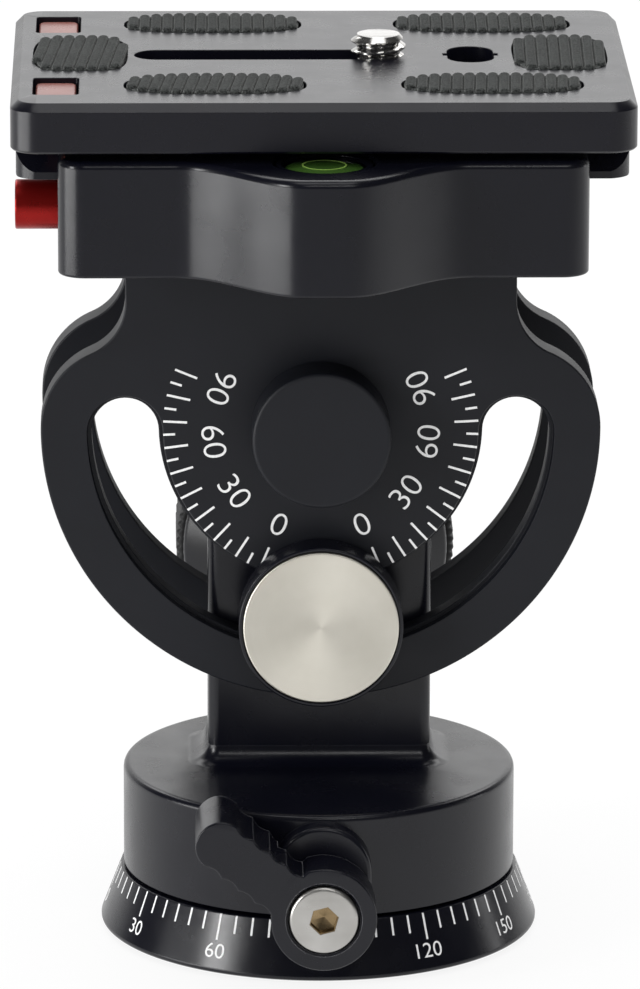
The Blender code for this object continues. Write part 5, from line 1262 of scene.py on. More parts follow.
def clamp_body():
    """The clamp's fixed part."""
    back = CLAMP_REAR_Y + OVERRUN
    cutters = jaw_bores(
        CLAMP_SCREW_ROOM_START, back, JAW_SPRING_ROOM_START, back, JAW_PIN_ROOM_START
    )
    level_room = lathe(sunk_bore(LEVEL_RADIUS + GAP, LEVEL_LOW - GAP, CLAMP_TOP), PART_STEPS)
    cutters.append(turn_to(level_room, "+Z", (0, LEVEL_Y, 0)))
    for y in (PLATE_MIDDLE_FRONT, PLATE_MIDDLE_REAR):
        for side in SIDES:
            place = (side * BRACKET_SCREW_X, y, 0)
            cutters.append(bore(BRACKET_SCREW_ROOM, CLAMP_BOTTOM - OVERRUN, CLAMP_TOP, "+Z", place))
    button_room = lathe(sunk_bore(BUTTON_ROOM, BUTTON_ROOM_END, CLAMP_HALF_LENGTH), MIDDLE_STEPS)
    cutters.append(turn_to(button_room, "-X", (0, BUTTON_Y, JAW_AXIS_Z)))
    cutters.append(bore(PIN_ROOM_RADIUS, PIN_ROOM_FLOOR, CLAMP_TOP, "+Z", (PIN_X, BUTTON_Y, 0)))
    cut("clamp_body", clamp_block(clamp_outline()), cutters)


def moving_jaw():
    """The rear jaw, which slides on two pins."""
    right = clamp_corner(1, JAW_REAR_Y - CLAMP_CORNER, 0)
    left = clamp_corner(-1, JAW_REAR_Y - CLAMP_CORNER, math.pi / 2)
    outline = [(-CLAMP_HALF_LENGTH, JAW_FRONT_Y), (CLAMP_HALF_LENGTH, JAW_FRONT_Y)] + right + left
    low = JAW_FRONT_Y - OVERRUN
    cutters = jaw_bores(low, JAW_REAR_Y + OVERRUN, low, JAW_SPRING_ROOM_END, low)
    cut("moving_jaw", clamp_block(outline), cutters)


def clamp_knob():
    """The knob behind the jaw, and its ribbed grip."""
    place = (0, 0, JAW_AXIS_Z)
    dish = CLAMP_KNOB_DISH_DEPTH
    lip = CLAMP_KNOB_RADIUS - KNOB_RIB_DEPTH
    turned("clamp_knob_core", "+Y", place, [
        (0, CLAMP_KNOB_END - dish, 0),
        (CLAMP_KNOB_DISH_RADIUS, CLAMP_KNOB_END - dish, FINE_EDGE),
        (CLAMP_KNOB_DISH_RADIUS + dish, CLAMP_KNOB_END, FINE_EDGE),
        (CLAMP_KNOB_CORE_RADIUS, CLAMP_KNOB_END, EDGE),
        (CLAMP_KNOB_CORE_RADIUS, CLAMP_KNOB_GRIP_FRONT - GAP, 0),
        (lip, CLAMP_KNOB_GRIP_FRONT - GAP, FINE_EDGE),
        (lip, CLAMP_KNOB_NECK_END, EDGE),
        (CLAMP_KNOB_NECK_RADIUS, CLAMP_KNOB_NECK_END, EDGE),
        (CLAMP_KNOB_NECK_RADIUS, CLAMP_KNOB_START, FINE_EDGE),
        (CLAMP_SCREW_ROOM, CLAMP_KNOB_START, 0),
        (CLAMP_SCREW_ROOM, CLAMP_KNOB_SCREW_END, 0),
        (0, CLAMP_KNOB_SCREW_END, 0),
    ])
    grip = knob_grip(
        CLAMP_KNOB_RADIUS, CLAMP_KNOB_CORE_RADIUS + GAP, CLAMP_KNOB_RIBS,
        CLAMP_KNOB_GRIP_FRONT, CLAMP_KNOB_END - EDGE,
    )
    stand_in("clamp_knob_grip", turn_to(grip, "+Y", place), sharp=RIB_SHARP_ANGLE)


def level():
    """The round level: cup, liquid under glass, bubble and the ring drawn round it."""
    place = (0, LEVEL_Y, 0)
    inner = LEVEL_RADIUS - LEVEL_WALL
    floor = LEVEL_LOW + LEVEL_FLOOR
    turned("level_cup", "+Z", place, [
        (0, floor, 0),
        (inner, floor, 0),
        (inner, LEVEL_TOP, HAIR_EDGE),
        (LEVEL_RADIUS, LEVEL_TOP, HAIR_EDGE),
        (LEVEL_RADIUS, LEVEL_LOW, HAIR_EDGE),
        (0, LEVEL_LOW, 0),
    ], PART_STEPS)
    turned("level_vial", "+Z", place, [
        (0, LEVEL_GLASS_TOP, 0),
        (LEVEL_GLASS_RADIUS / 2, LEVEL_GLASS_TOP, LEVEL_GLASS_RADIUS),
        (LEVEL_GLASS_RADIUS, LEVEL_GLASS_EDGE, EDGE),
        (LEVEL_GLASS_RADIUS, floor + GAP, HAIR_EDGE),
        (0, floor + GAP, 0),
    ], PART_STEPS, SOFT_STEPS)
    steps = 10
    half = BUBBLE_THICKNESS / 2
    middle = LEVEL_GLASS_TOP - half - MARK_PROUD
    profile = []
    for step in range(steps + 1):
        angle = math.pi * step / steps - math.pi / 2
        reach = BUBBLE_RADIUS * math.cos(angle) if 0 < step < steps else 0
        profile.append((reach, middle - half * math.sin(angle)))
    stand_in("level_bubble", turn_to(lathe(profile, MIDDLE_STEPS), "+Z", place))
    # The ring drawn round the level is real print; its light yellow-green colour is a painted
    # highlight.
    outer = LEVEL_CIRCLE_RADIUS + LEVEL_CIRCLE_WIDTH
    top = LEVEL_GLASS_TOP + MARK_PROUD
    profile = [
        (outer, LEVEL_GLASS_TOP),
        (outer, top),
        (LEVEL_CIRCLE_RADIUS, top),
        (LEVEL_CIRCLE_RADIUS, LEVEL_GLASS_TOP),
    ]
    ring = turn_to(lathe(profile, PART_STEPS, hollow=True), "+Z", place)
    show("level_circle_mark", ring, "level_vial", "level_mark", weighted=False)


def safety_button():
    """The red button at the clamp's end."""
    rim = BUTTON_RADIUS - EDGE
    profile = soften([
        (0, BUTTON_OUTER_X - BUTTON_DISH, 0),
        (rim - EDGE, BUTTON_OUTER_X - BUTTON_DISH, FINE_EDGE),
        (rim, BUTTON_OUTER_X, HAIR_EDGE),
        (BUTTON_RADIUS, BUTTON_OUTER_X, EDGE),
        (BUTTON_RADIUS, BUTTON_INNER_X, FINE_EDGE),
        (0, BUTTON_INNER_X, 0),
    ])
    half = BUTTON_WINDOW_HALF_WIDTH
    reach = 2 * BUTTON_RADIUS
    window = block(
        -BUTTON_WINDOW_OUTER_X, -BUTTON_WINDOW_INNER_X, BUTTON_Y - half, BUTTON_Y + half,
        JAW_AXIS_Z - reach, JAW_AXIS_Z + reach,
    )
    button = turn_to(lathe(profile, PART_STEPS), "-X", (0, BUTTON_Y, JAW_AXIS_Z))
    cut("safety_button", button, [window])


def power_outline(half_x, half_y, power_x, power_y):
    """A closed outline whose corners grow fuller as its powers fall."""
    points = []
    for x, y in circle((0, 0), 1, PART_STEPS):
        points.append((
            half_x * math.copysign(abs(x) ** power_x, x),
            half_y * math.copysign(abs(y) ** power_y, y),
        ))
    return points


def pad_outline(name, more=0):
    """A pad's outline from above, in place: a long oval, or an end pad with bowed ends."""
    centre_x, offset_y, _ = PADS[name]
    if "end" in name:
        half_x, half_y, powers = END_PAD_WIDTH / 2, END_PAD_LENGTH / 2, END_PAD_POWERS
    else:
        half_x, half_y, powers = PAD_LENGTH / 2, PAD_WIDTH / 2, PAD_POWERS
    centre_y = UPPER_Y + offset_y
    outline = power_outline(half_x + more, half_y + more, *powers)
    return [(x + centre_x, y + centre_y + PAD_BACK_SHIFT) for x, y in outline]


def camera_slot_outline(more):
    """The long slot that the camera screw slides in, from above."""
    half = CAMERA_SLOT_HALF_WIDTH + more
    points = arc((CAMERA_SCREW_X, UPPER_Y), half, -math.pi / 2, math.pi / 2, COVE_STEPS)
    start = CAMERA_SLOT_START + CAMERA_SLOT_HALF_WIDTH
    return points + arc((start, UPPER_Y), half, math.pi / 2, 3 * math.pi / 2, COVE_STEPS)


def camera_hole_outline(more):
    """The long hole across the plate with its two side notches, from above."""
    half = CAMERA_HOLE_NOTCH_WIDTH / 2 + more
    radius = CAMERA_HOLE_RADIUS + more
    reach = radius + CAMERA_HOLE_NOTCH
    straight = CAMERA_HOLE_LENGTH / 2 - CAMERA_HOLE_RADIUS
    points = []
    for side, start in ((1, 0), (-1, math.pi)):
        for across, up in ((radius, -half), (reach, -half), (reach, half), (radius, half)):
            points.append((CAMERA_HOLE_X + side * across, UPPER_Y + side * up))
        middle = (CAMERA_HOLE_X, UPPER_Y + side * straight)
        points += arc(middle, radius, start, start + math.pi, HOLE_END_STEPS)
    return points


def mouth(outline_of, bottom):
    """Rings down a hole in the plate's top whose rim is a small round chamfer."""
    rings = [
        (outline_of(POCKET_EDGE * (1 - sine)), SLAB_TOP - POCKET_EDGE * rise)
        for sine, rise in quarter(3)
    ]
    return rings + [(outline_of(0), bottom)]


def stop_outline(side, more, corner):
    """A stop's outline from above, grown."""
    y = UPPER_Y + side * STOP_Y
    half_x = STOP_HALF_LENGTH + more
    half_y = STOP_HALF_WIDTH + more
    return round_box(half_x, y - half_y, y + half_y, corner, POST_EDGE_STEPS, STOP_X)


def stem_place(side):
    """The foot of a stop's stem."""
    return (STOP_X, UPPER_Y + side * (STOP_Y + STOP_HALF_WIDTH / 2), 0)


def camera_plate():
    """The quick release plate: slab with pockets, slot and hole, and the rail under it."""
    outline = round_box(
        SLAB_HALF_LENGTH, SLAB_FRONT_Y, SLAB_REAR_Y, SLAB_CORNER, PLATE_CORNER_STEPS
    )
    layers = chamfered(SLAB_BOTTOM, SLAB_TOP, SLAB_LOWER_EDGE, SLAB_EDGE)
    pockets = [
        mouth(lambda more, name=name: pad_outline(name, PAD_ROOM + more), PAD_LOW - GAP)
        for name in PADS
    ]
    for side in SIDES:
        def window(more, side=side):
            return stop_outline(side, GAP + more, EDGE + more)
        pockets.append(mouth(window, STOP_WINDOW_FLOOR))
    through = [mouth(of_hole, SLAB_BOTTOM) for of_hole in (camera_slot_outline, camera_hole_outline)]
    plate = prism(outline, layers, through, pockets)
    low = RAIL_BOTTOM - OVERRUN
    reach = DOVETAIL_HALF_WIDTH + HAIR_EDGE
    half = RAIL_HALF_LENGTH + HAIR_EDGE
    limit = round_box(half, UPPER_Y - reach, UPPER_Y + reach, RAIL_CORNER, PLATE_CORNER_STEPS)
    rail_limit = prism(limit, [(low, 0), (SLAB_TOP, 0)])
    rail = along_x(dovetail_section(0), RAIL_HALF_LENGTH, FINE_EDGE)
    rail = boolean(rail, [rail_limit], "INTERSECT")
    recess_outline = round_box(
        RECESS_HALF_LENGTH, UPPER_Y - RECESS_HALF_WIDTH, UPPER_Y + RECESS_HALF_WIDTH, SLAB_CORNER
    )
    cutters = [
        prism(recess_outline, [(low, 0), (RECESS_ROOF, 0)]),
        block(
            PIN_X - GROOVE_HALF_LENGTH, PIN_X + GROOVE_HALF_LENGTH,
            BUTTON_Y - GROOVE_HALF_WIDTH, BUTTON_Y + GROOVE_HALF_WIDTH, low, GROOVE_TOP,
        ),
    ]
    for side in SIDES:
        top = STOP_WINDOW_FLOOR + EDGE
        radius = STOP_STEM_RADIUS + GAP
        cutters.append(bore(radius, SLAB_BOTTOM - OVERRUN, top, "+Z", stem_place(side)))
    cut("camera_plate", boolean(plate, [rail], "UNION"), cutters)


def ribbed_pad(name):
    """A rubber pad: a base and close round ribs across it, whose ends show at its edge."""
    outline = pad_outline(name)
    base_top = PAD_TOP - PAD_RIB_DEPTH
    shape = prism(outline, rounding(PAD_LOW, base_top, 0, HAIR_EDGE, 2))
    xs = sorted(x for x, y in outline)
    ys = sorted(y for x, y in outline)
    middle_y = (ys[0] + ys[-1]) / 2
    slope = math.tan(PADS[name][2])
    upright = [(x - (y - middle_y) * slope, y) for x, y in outline]
    count = round((xs[-1] - xs[0]) / PAD_RIB_PITCH)
    start = (xs[0] + xs[-1]) / 2 - PAD_RIB_PITCH * (count - 1) / 2
    half_rib = PAD_RIB_PITCH * RIB_WIDTH_SHARE / 2
    turns = quarter(EDGE_STEPS)[1:]
    segments = 8
    low = base_top - PAD_RIB_DEPTH
    for number in range(count):
        x = start + PAD_RIB_PITCH * number
        found = crossings(upright, x)
        if not found:
            continue
        low_y = min(found) - PAD_RIB_BULGE
        high_y = max(found) + PAD_RIB_BULGE
        if high_y - low_y < 2 * half_rib:
            continue
        stations = [(low_y + half_rib * rise, fullness) for fullness, rise in turns]
        stations += [(high_y - half_rib * rise, fullness) for fullness, rise in reversed(turns)]
        rows = []
        for y, fullness in stations:
            crest_x = x + (y - middle_y) * slope
            half = half_rib * fullness
            row = []
            for segment in range(segments + 1):
                angle = math.pi * segment / segments
                rise = PAD_RIB_DEPTH * fullness * math.sin(angle) ** RIB_POWER
                row.append((crest_x - half * math.cos(angle), y, base_top + rise))
            row += [(crest_x + half, y, low), (crest_x - half, y, low)]
            rows.append([shape.verts.new(point) for point in row])
        for first, second in zip(rows, rows[1:]):
            bridge(shape, first, second)
        shape.faces.new(rows[0])
        shape.faces.new(list(reversed(rows[-1])))
    return outward(shape)


def crossings(outline, x):
    """Where an outline crosses a line of constant x."""
    found = []
    for first, second in zip(outline, outline[1:] + outline[:1]):
        low, high = sorted((first[0], second[0]))
        if low <= x < high:
            share = (x - first[0]) / (second[0] - first[0])
            found.append(first[1] + (second[1] - first[1]) * share)
    return found


def pads():
    """The six rubber pads in the plate's top."""
    for name in PADS:
        stand_in(name, ribbed_pad(name), sharp=PAD_SHARP_ANGLE)


def stops():
    """The two red stops in their windows."""
    for name, side in (("stop_front", -1), ("stop_rear", 1)):
        layers = rounding(STOP_LOW, STOP_TOP, STOP_EDGE, STOP_EDGE, EDGE_STEPS)
        stop = prism(stop_outline(side, 0, STOP_CORNER), layers)
        stem = rod(STOP_STEM_RADIUS, STOP_STEM_LOW, STOP_TOP - EDGE, FINE_EDGE, HOLE_STEPS)
        stem = turn_to(stem, "+Z", stem_place(side))
        stand_in(name, boolean(stop, [stem], "UNION"), "stop_red")


def camera_screw():
    """The chrome screw for the camera, with its helical thread, head and coin slot."""
    steps = PART_STEPS
    rows_per_pitch = 14
    row_height = CAMERA_SCREW_PITCH / rows_per_pitch
    tip_low = CAMERA_SCREW_TOP - CAMERA_SCREW_TIP_EDGE
    rows = int((CAMERA_SCREW_TOP - CAMERA_SCREW_THREAD_LOW) / row_height)
    depth = CAMERA_SCREW_RADIUS - CAMERA_SCREW_CORE_RADIUS
    outlines = []
    for row in range(rows + 1):
        height = CAMERA_SCREW_THREAD_LOW + row_height * row
        widest = CAMERA_SCREW_RADIUS - max(height - tip_low, 0) * TIP_SLOPE
        outline = []
        for i in range(steps):
            turn = i / steps
            phase = (height / CAMERA_SCREW_PITCH - turn) % 1
            wave = 1 - abs(2 * phase - 1)
            crest = min(max(wave * THREAD_SLOPE - THREAD_ROOT, 0), 1)
            radius = min(CAMERA_SCREW_CORE_RADIUS + depth * crest, widest)
            radius = max(radius, CAMERA_SCREW_TIP_RADIUS)
            angle = math.tau * turn
            outline.append((radius * math.cos(angle), radius * math.sin(angle)))
        outlines.append((outline, height))
    tip = circle((0, 0), CAMERA_SCREW_TIP_RADIUS - HAIR_EDGE, steps)
    outlines.append((tip, CAMERA_SCREW_TOP))
    lower = soften([
        (CAMERA_SCREW_NECK_RADIUS, CAMERA_SCREW_THREAD_LOW, 0),
        (CAMERA_SCREW_NECK_RADIUS, CAMERA_SCREW_HEAD_TOP, HAIR_EDGE),
        (CAMERA_SCREW_HEAD_RADIUS, CAMERA_SCREW_HEAD_TOP, FINE_EDGE),
        (CAMERA_SCREW_HEAD_RADIUS, CAMERA_SCREW_HEAD_LOW, FINE_EDGE),
        (0, CAMERA_SCREW_HEAD_LOW, 0),
    ])
    head = [(circle((0, 0), radius, steps), height) for radius, height in reversed(lower[:-1])]
    shape = bmesh.new()
    for ring in wall(shape, head + outlines):
        fill(shape, ring)
    turn_to(outward(shape), "+Z", (CAMERA_SCREW_X, UPPER_Y, 0))
    reach = CAMERA_SCREW_HEAD_RADIUS + OVERRUN
    low = CAMERA_SCREW_HEAD_LOW
    cut("camera_screw", shape, [block(
        CAMERA_SCREW_X - reach, CAMERA_SCREW_X + reach,
        UPPER_Y - COIN_SLOT_HALF_WIDTH, UPPER_Y + COIN_SLOT_HALF_WIDTH,
        low - OVERRUN, low + COIN_SLOT_DEPTH,
    )])


def add(tree, kind, inputs=None, **settings):
    """A new node. An input that is a socket is linked, and any other is set as a value."""
    made = tree.nodes.new(kind)
    for key, value in settings.items():
        setattr(made, key, value)
    for key, value in (inputs or {}).items():
        if isinstance(value, bpy.types.NodeSocket):
            tree.links.new(value, made.inputs[key])
        else:
            made.inputs[key].default_value = value
    return made


def compute(tree, operation, *values, use_clamp=False):
    """The result of a math node."""
    inputs = dict(enumerate(values))
    made = add(tree, "ShaderNodeMath", inputs, operation=operation, use_clamp=use_clamp)
    return made.outputs["Value"]


def vector(tree, operation, *values, output="Vector"):
    """The result of a vector math node."""
    inputs = dict(enumerate(values))
    return add(tree, "ShaderNodeVectorMath", inputs, operation=operation).outputs[output]


def noise(tree, place, scale, detail=3):
    """A noise value from zero to one over the object's own coordinates."""
    made = add(tree, "ShaderNodeTexNoise", {"Vector": place, "Scale": scale, "Detail": detail})
    return made.outputs["Fac"]


def between(tree, value, out_low=0, out_high=1, low=NOISE_LOW, high=NOISE_HIGH):
    """Maps a value from the range low to high onto another range, clamped."""
    made = add(tree, "ShaderNodeMapRange", {
        "Value": value, "From Min": low, "From Max": high, "To Min": out_low, "To Max": out_high,
    })
    return made.outputs["Result"]


def blend_colours(tree, share, first, second):
    """A colour between two others, each a socket or a linear (red, green, blue)."""
    inputs = {"Factor": share}
    for index, colour in ((6, first), (7, second)):
        inputs[index] = colour if isinstance(colour, bpy.types.NodeSocket) else (*colour, 1)
    return add(tree, "ShaderNodeMix", inputs, data_type="RGBA").outputs[2]


def worn_edges(tree, radius, end_share):
    """How much a point lies on a sharp edge, from zero to one."""
    bevel = add(tree, "ShaderNodeBevel", {"Radius": radius}, samples=6)
    plain = add(tree, "ShaderNodeNewGeometry")
    both = vector(
        tree, "DOT_PRODUCT", bevel.outputs["Normal"], plain.outputs["Normal"], output="Value"
    )
    return between(tree, compute(tree, "SUBTRACT", 1.0, both), 0, 1, HIGHLIGHT_AND_WEAR_START_SHARE, end_share)


def blank(name):
    """A new node material, its tree, and the object's own coordinates in it."""
    material = bpy.data.materials.new(name)
    material.use_nodes = True
    tree = material.node_tree
    tree.nodes.clear()
    return material, tree, add(tree, "ShaderNodeTexCoord").outputs["Object"]


def finish_with(material, shader):
    """Links a shader to the material's output."""
    tree = material.node_tree
    output = add(tree, "ShaderNodeOutputMaterial")
    tree.links.new(shader, output.inputs["Surface"])
    return material


def principled(material, colour, gloss, inputs, height=None, strength=0, depth=0):
    """Ends a material with its main shader, and a bump where it has a height."""
    tree = material.node_tree
    if height:
        bump = {"Height": height, "Strength": strength, "Distance": depth}
        inputs["Normal"] = add(tree, "ShaderNodeBump", bump).outputs["Normal"]
    inputs.update({"Base Color": colour, "Roughness": gloss})
    return finish_with(material, add(tree, "ShaderNodeBsdfPrincipled", inputs).outputs["BSDF"])


def anodised(
    name, dark, light, edge, rough_low, rough_high, specular,
    metallic=0.0, highlight_and_wear=0.35, highlight_and_wear_radius=HIGHLIGHT_AND_WEAR_RADIUS, highlight_and_wear_end_share=0.4,
):
    """Bead-blasted and anodised aluminium: fine grain, cloudy gloss, and edges painted lighter in the
    edge colour, partly worn metal and partly a painted highlight.
    """
    material, tree, place = blank(name)
    colour = blend_colours(tree, between(tree, noise(tree, place, CLOUD_SCALE)), dark, light)
    # Edges are painted lighter in the edge colour, in patches: partly worn metal and partly a painted
    # highlight.
    lit_and_worn_edge = worn_edges(tree, highlight_and_wear_radius, highlight_and_wear_end_share)
    patches = noise(tree, place, HIGHLIGHT_AND_WEAR_SCALE)
    patchy = between(tree, patches, highlight_and_wear / 2, highlight_and_wear, FINE_NOISE_LOW, FINE_NOISE_HIGH)
    colour = blend_colours(tree, compute(tree, "MULTIPLY", lit_and_worn_edge, patchy), colour, edge)
    gloss = between(tree, noise(tree, place, SMEAR_SCALE, 4), rough_low, rough_high)
    inputs = {"Metallic": metallic, "Specular IOR Level": specular}
    grain = noise(tree, place, GRAIN_SCALE, 2)
    return principled(material, colour, gloss, inputs, grain, GRAIN_STRENGTH, GRAIN_DEPTH)


def turned_metal(name, colour, tint, rough_low, rough_high, axis_point, anisotropic):
    """Metal with fine concentric turning marks about the Y axis through a point."""
    material, tree, place = blank(name)
    split = add(tree, "ShaderNodeSeparateXYZ", {"Vector": vector(tree, "SUBTRACT", place, axis_point)})
    flat = add(tree, "ShaderNodeCombineXYZ", {"X": split.outputs["X"], "Z": split.outputs["Z"]})
    flat = flat.outputs["Vector"]
    rings = add(tree, "ShaderNodeTexNoise", {
        "W": vector(tree, "LENGTH", flat, output="Value"), "Scale": TURNING_SCALE, "Detail": 3,
    }, noise_dimensions="1D").outputs["Fac"]
    tone = blend_colours(tree, between(tree, noise(tree, place, SMEAR_SCALE)), colour, tint)
    gloss = between(tree, rings, rough_low, rough_high)
    tangent = vector(tree, "CROSS_PRODUCT", flat, (0, 1, 0))
    inputs = {"Metallic": 1.0, "Anisotropic": anisotropic, "Tangent": tangent}
    return principled(material, tone, gloss, inputs, rings, TURNING_STRENGTH, GRAIN_DEPTH)


def plain_metal(name, colour, tint, rough_low, rough_high):
    """Machined metal with a light smear and faint scratches along its length."""
    material, tree, place = blank(name)
    stretched = add(tree, "ShaderNodeMapping", {"Vector": place, "Scale": SCRATCH_STRETCH})
    scratches = noise(tree, stretched.outputs["Vector"], SCRATCH_SCALE, 4)
    tone = blend_colours(tree, between(tree, noise(tree, place, SMEAR_SCALE)), colour, tint)
    gloss = between(tree, scratches, rough_low, rough_high)
    inputs = {"Metallic": 1.0}
    return principled(material, tone, gloss, inputs, scratches, TURNING_STRENGTH, GRAIN_DEPTH)


def rubber(name, dark, light, rough_low, rough_high, specular, ribbed=False):
    """Matt rubber with a fine pebble and an uneven tone. Ribbed pads have a painted highlight on their
    ribs' sides, and darker pebble pits.
    """
    material, tree, place = blank(name)
    pebble = noise(tree, place, PEBBLE_SCALE, 2)
    colour = blend_colours(tree, between(tree, noise(tree, place, CLOUD_SCALE, 5)), dark, light)
    if ribbed:
        # Painted highlight: rib sides that face along X are painted lighter.
        normal = add(tree, "ShaderNodeNewGeometry").outputs["True Normal"]
        sideways = add(tree, "ShaderNodeSeparateXYZ", {"Vector": normal}).outputs["X"]
        flank = compute(tree, "ABSOLUTE", sideways)
        lit_flank = between(tree, flank, 0, RIB_FLANK_HIGHLIGHT_SHARE, *RIB_FLANK_RANGE)
        colour = blend_colours(tree, lit_flank, colour, FLANK_HIGHLIGHT_COLOUR)
        # The pebble's low points are coloured darker, towards the pit colour.
        deep = between(tree, pebble, PEBBLE_PIT_DARK_SHARE, 0, *PEBBLE_PIT_RANGE)
        colour = blend_colours(tree, deep, colour, PIT_COLOUR)
    gloss = between(tree, pebble, rough_low, rough_high)
    inputs = {"Specular IOR Level": specular}
    return principled(material, colour, gloss, inputs, pebble, PEBBLE_STRENGTH, PEBBLE_DEPTH)


def liquid(name, colour, deep, transmission, specular):
    """Coloured liquid under a clear top, with painted shade: its colour goes deeper where its surface
    turns away from the view, towards the rim.
    """
    material, tree, place = blank(name)
    # Painted shade: the colour darkens where the surface faces away from the view.
    facing = add(tree, "ShaderNodeLayerWeight", {"Blend": LIQUID_RIM_SHADE_BLEND}).outputs["Facing"]
    tone = blend_colours(tree, between(tree, facing, 0, 1, 0, 1), colour, deep)
    gloss = between(tree, noise(tree, place, CLOUD_SCALE, 2), *LIQUID_ROUGHNESS, 0, 1)
    return principled(material, tone, gloss, {
        "Transmission Weight": transmission, "Specular IOR Level": specular, "IOR": LIQUID_IOR,
    })


def printed(name, colour, faded):
    """Screen-printed ink, with a slightly uneven tone."""
    material, tree, place = blank(name)
    speckle = noise(tree, place, GRAIN_SCALE, 2)
    share = between(tree, speckle, 0, 1, FINE_NOISE_LOW, FINE_NOISE_HIGH)
    tone = blend_colours(tree, share, colour, faded)
    gloss = between(tree, speckle, *INK_ROUGHNESS)
    return principled(material, tone, gloss, {"Specular IOR Level": INK_SPECULAR})


def make_finishes():
    """All finishes by slot name, each with the values that its maker takes in that order."""
    black = ((0.002, 0.0022, 0.0052), (0.003, 0.0032, 0.0066))
    disc_axis = (0, 0, BOLT_Z)
    for make, name, *values in (
        # Each anodised finish's third colour is its edge colour: partly worn metal, partly a painted
        # highlight.
        (anodised, "black_anodised", *black, (0.16, 0.16, 0.165), 0.22, 0.29, 0.38),
        # The lever's light edge colour, strong edge share and wide radius paint a highlight along its
        # edges.
        (anodised, "lever_anodised", *black, (0.4, 0.4, 0.42), 0.22, 0.29, 0.38,
         0.0, 0.8, LEVER_HIGHLIGHT_RADIUS, 0.2),
        (anodised, "charcoal_anodised", (0.0026, 0.0032, 0.0062), (0.0036, 0.0044, 0.008),
         (0.2, 0.2, 0.21), 0.47, 0.54, 0.36),
        (anodised, "plate_anodised", (0.0024, 0.0024, 0.0056), (0.0034, 0.0034, 0.0072),
         (0.3, 0.3, 0.3), 0.26, 0.3, 0.4),
        (anodised, "red_anodised", (0.26, 0.008, 0.007), (0.34, 0.012, 0.01),
         (0.6, 0.14, 0.1), 0.24, 0.3, 0.35, 0.75),
        (anodised, "stop_red", (0.18, 0.055, 0.045), (0.24, 0.08, 0.065),
         (0.5, 0.3, 0.28), 0.26, 0.34, 0.4),
        (turned_metal, "bright_disc", (0.71, 0.68, 0.6), (0.77, 0.74, 0.66),
         0.38, 0.44, disc_axis, 0.45),
        (plain_metal, "steel", (0.42, 0.41, 0.39), (0.52, 0.51, 0.49), 0.26, 0.36),
        (plain_metal, "chrome", (0.5, 0.49, 0.47), (0.6, 0.59, 0.58), 0.12, 0.22),
        (plain_metal, "aluminium", (0.5, 0.5, 0.51), (0.6, 0.6, 0.61), 0.3, 0.42),
        (plain_metal, "bronze", (0.24, 0.17, 0.09), (0.34, 0.25, 0.14), 0.24, 0.36),
        (rubber, "sliding_polymer", (0.6, 0.6, 0.57), (0.72, 0.72, 0.69), 0.4, 0.55, 0.4),
        (rubber, "grip_rubber", (0.007, 0.007, 0.008), (0.013, 0.013, 0.014), 0.5, 0.65, 0.35),
        # The pad rubber paints a highlight on its ribs' sides.
        (rubber, "pad_rubber", (0.042, 0.045, 0.044), (0.058, 0.062, 0.06), 0.75, 0.9, 0.1, True),
        # The second colour of the level liquid and the bubble is their painted rim shade.
        (liquid, "level_liquid", (0.075, 0.16, 0.03), (0.02, 0.06, 0.01), 0.1, 0.7),
        (liquid, "bubble", (0.75, 0.85, 0.45), (0.4, 0.6, 0.15), 0.2, 0.6),
        (printed, "scale_white", (0.8, 0.8, 0.8), (0.66, 0.66, 0.66)),
        # The level mark's light yellow-green is a painted highlight on a printed ring.
        (printed, "level_mark", (0.2, 0.34, 0.06), (0.3, 0.5, 0.1)),
    ):
        finishes[name] = make(name, *values)


def dress_nodes():
    """Gives every CAD node its procedural finish, also those that finer pieces stand for."""
    for node_name, slot_name in slot_of_node.items():
        mesh = frame["nodes"][node_name].data
        mesh.materials.clear()
        mesh.materials.append(finishes[slot_name])


def background(tree, dim):
    """Which rays see the white background, and its strength, which is full for the camera."""
    rays = add(tree, "ShaderNodeLightPath").outputs
    seen = compute(tree, "ADD", rays["Is Camera Ray"], rays["Is Glossy Ray"])
    seen = compute(tree, "ADD", seen, rays["Is Transmission Ray"], use_clamp=True)
    return seen, compute(tree, "MAXIMUM", dim, rays["Is Camera Ray"])


def stage_material():
    """The floor: pale, white to the camera and in gloss, and still shaded by the object."""
    material, tree, place = blank("floor")
    speckle = noise(tree, place, FLOOR_SCALE, 2)
    tone = blend_colours(tree, speckle, *FLOOR_COLOURS)
    diffuse = add(tree, "ShaderNodeBsdfDiffuse", {"Color": tone})
    across = add(tree, "ShaderNodeSeparateXYZ", {"Vector": place}).outputs["Y"]
    room = between(tree, across, FLOOR_DIM_SHARE, 1, FLOOR_DIM_END, FLOOR_DIM_START)
    seen, strength = background(tree, room)
    white = add(tree, "ShaderNodeEmission", {"Color": WHITE, "Strength": strength})
    mixed = add(tree, "ShaderNodeMixShader", {
        "Fac": compute(tree, "MULTIPLY", seen, FLOOR_WHITE_SHARE),
        1: diffuse.outputs["BSDF"],
        2: white.outputs["Emission"],
    })
    return finish_with(material, mixed.outputs["Shader"])


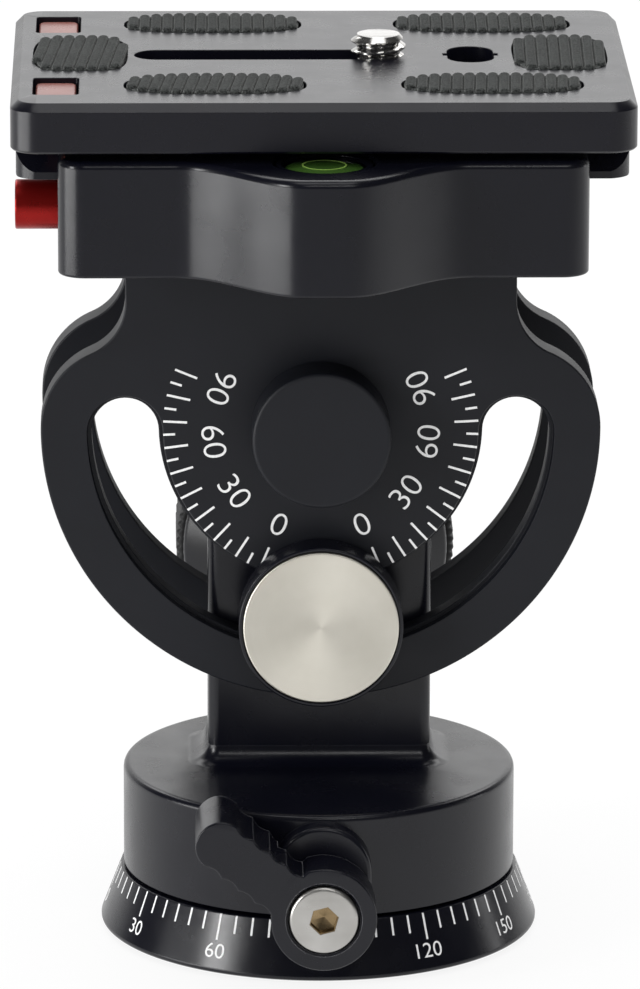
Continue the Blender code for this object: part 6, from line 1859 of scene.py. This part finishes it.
def studio_world():
    """The world: even light on the object, and a white room with a dim front in its gloss."""
    world = bpy.data.worlds.new("studio")
    bpy.context.scene.world = world
    world.use_nodes = True
    tree = world.node_tree
    tree.nodes.clear()
    direction = add(tree, "ShaderNodeTexCoord").outputs["Generated"]
    across = add(tree, "ShaderNodeSeparateXYZ", {"Vector": direction}).outputs["Y"]
    room = between(tree, across, ROOM_FRONT_SHARE, 1, ROOM_FRONT, ROOM_BACK)
    seen, strength = background(tree, room)
    plain = add(tree, "ShaderNodeBackground", {"Color": WHITE, "Strength": WORLD_LEVEL})
    white = add(tree, "ShaderNodeBackground", {"Color": WHITE, "Strength": strength})
    mixed = add(tree, "ShaderNodeMixShader", {
        "Fac": seen, 1: plain.outputs["Background"], 2: white.outputs["Background"],
    })
    output = add(tree, "ShaderNodeOutputWorld")
    tree.links.new(mixed.outputs["Shader"], output.inputs["Surface"])


def stage():
    """The floor, the world and the lamps."""
    half = FLOOR_HALF_SIZE
    shape = bmesh.new()
    shape.faces.new(ring_of(shape, [(-half, -half), (half, -half), (half, half), (-half, half)], 0))
    floor = as_object("floor", shape)
    floor.data.materials.append(stage_material())
    studio_world()
    for name, place, size_x, size_y, power in LAMPS:
        lamp = bpy.data.lights.new(name, "AREA")
        lamp.shape = "RECTANGLE"
        lamp.size = size_x
        lamp.size_y = size_y
        lamp.energy = power
        obj = bpy.data.objects.new(name, lamp)
        obj.location = place
        obj.rotation_euler = aimed(obj).to_euler()
        bpy.context.scene.collection.objects.link(obj)


def aimed(obj):
    """The turn that points a lamp or camera at the object's middle."""
    aim = Vector((0, 0, CAMERA_AIM_HEIGHT)) - obj.location
    return aim.to_track_quat("-Z", "Y")


def camera():
    """The camera, placed where the photograph was taken."""
    data = bpy.data.cameras.new("camera")
    data.lens = CAMERA_LENS_MM
    data.sensor_width = CAMERA_SENSOR_MM
    data.sensor_fit = "AUTO"
    data.shift_x = CAMERA_SHIFT_X
    data.shift_y = CAMERA_SHIFT_Y
    data.clip_start = CAMERA_DISTANCE / 10
    data.clip_end = 10 * FLOOR_HALF_SIZE
    obj = bpy.data.objects.new("camera", data)
    obj.location = (
        CAMERA_DISTANCE * math.sin(CAMERA_AZIMUTH),
        -CAMERA_DISTANCE * math.cos(CAMERA_AZIMUTH),
        CAMERA_HEIGHT,
    )
    turn = aimed(obj).to_matrix() @ Matrix.Rotation(CAMERA_ROLL, 3, "Z")
    obj.rotation_euler = turn.to_euler()
    bpy.context.scene.collection.objects.link(obj)
    bpy.context.scene.camera = obj


def main():
    """Builds every piece, the stage and the camera."""
    for build in (
        make_finishes, dress_nodes, pan_base, pan_scale, pan_housing, bolt_caps, tilt_knob,
        pan_lever, arc_plates, tilt_scale, clamp_body, moving_jaw, clamp_knob, level,
        safety_button, camera_plate, pads, stops, camera_screw, stage, camera,
    ):
        build()
    bpy.context.scene.view_settings.view_transform = "Standard"


main()
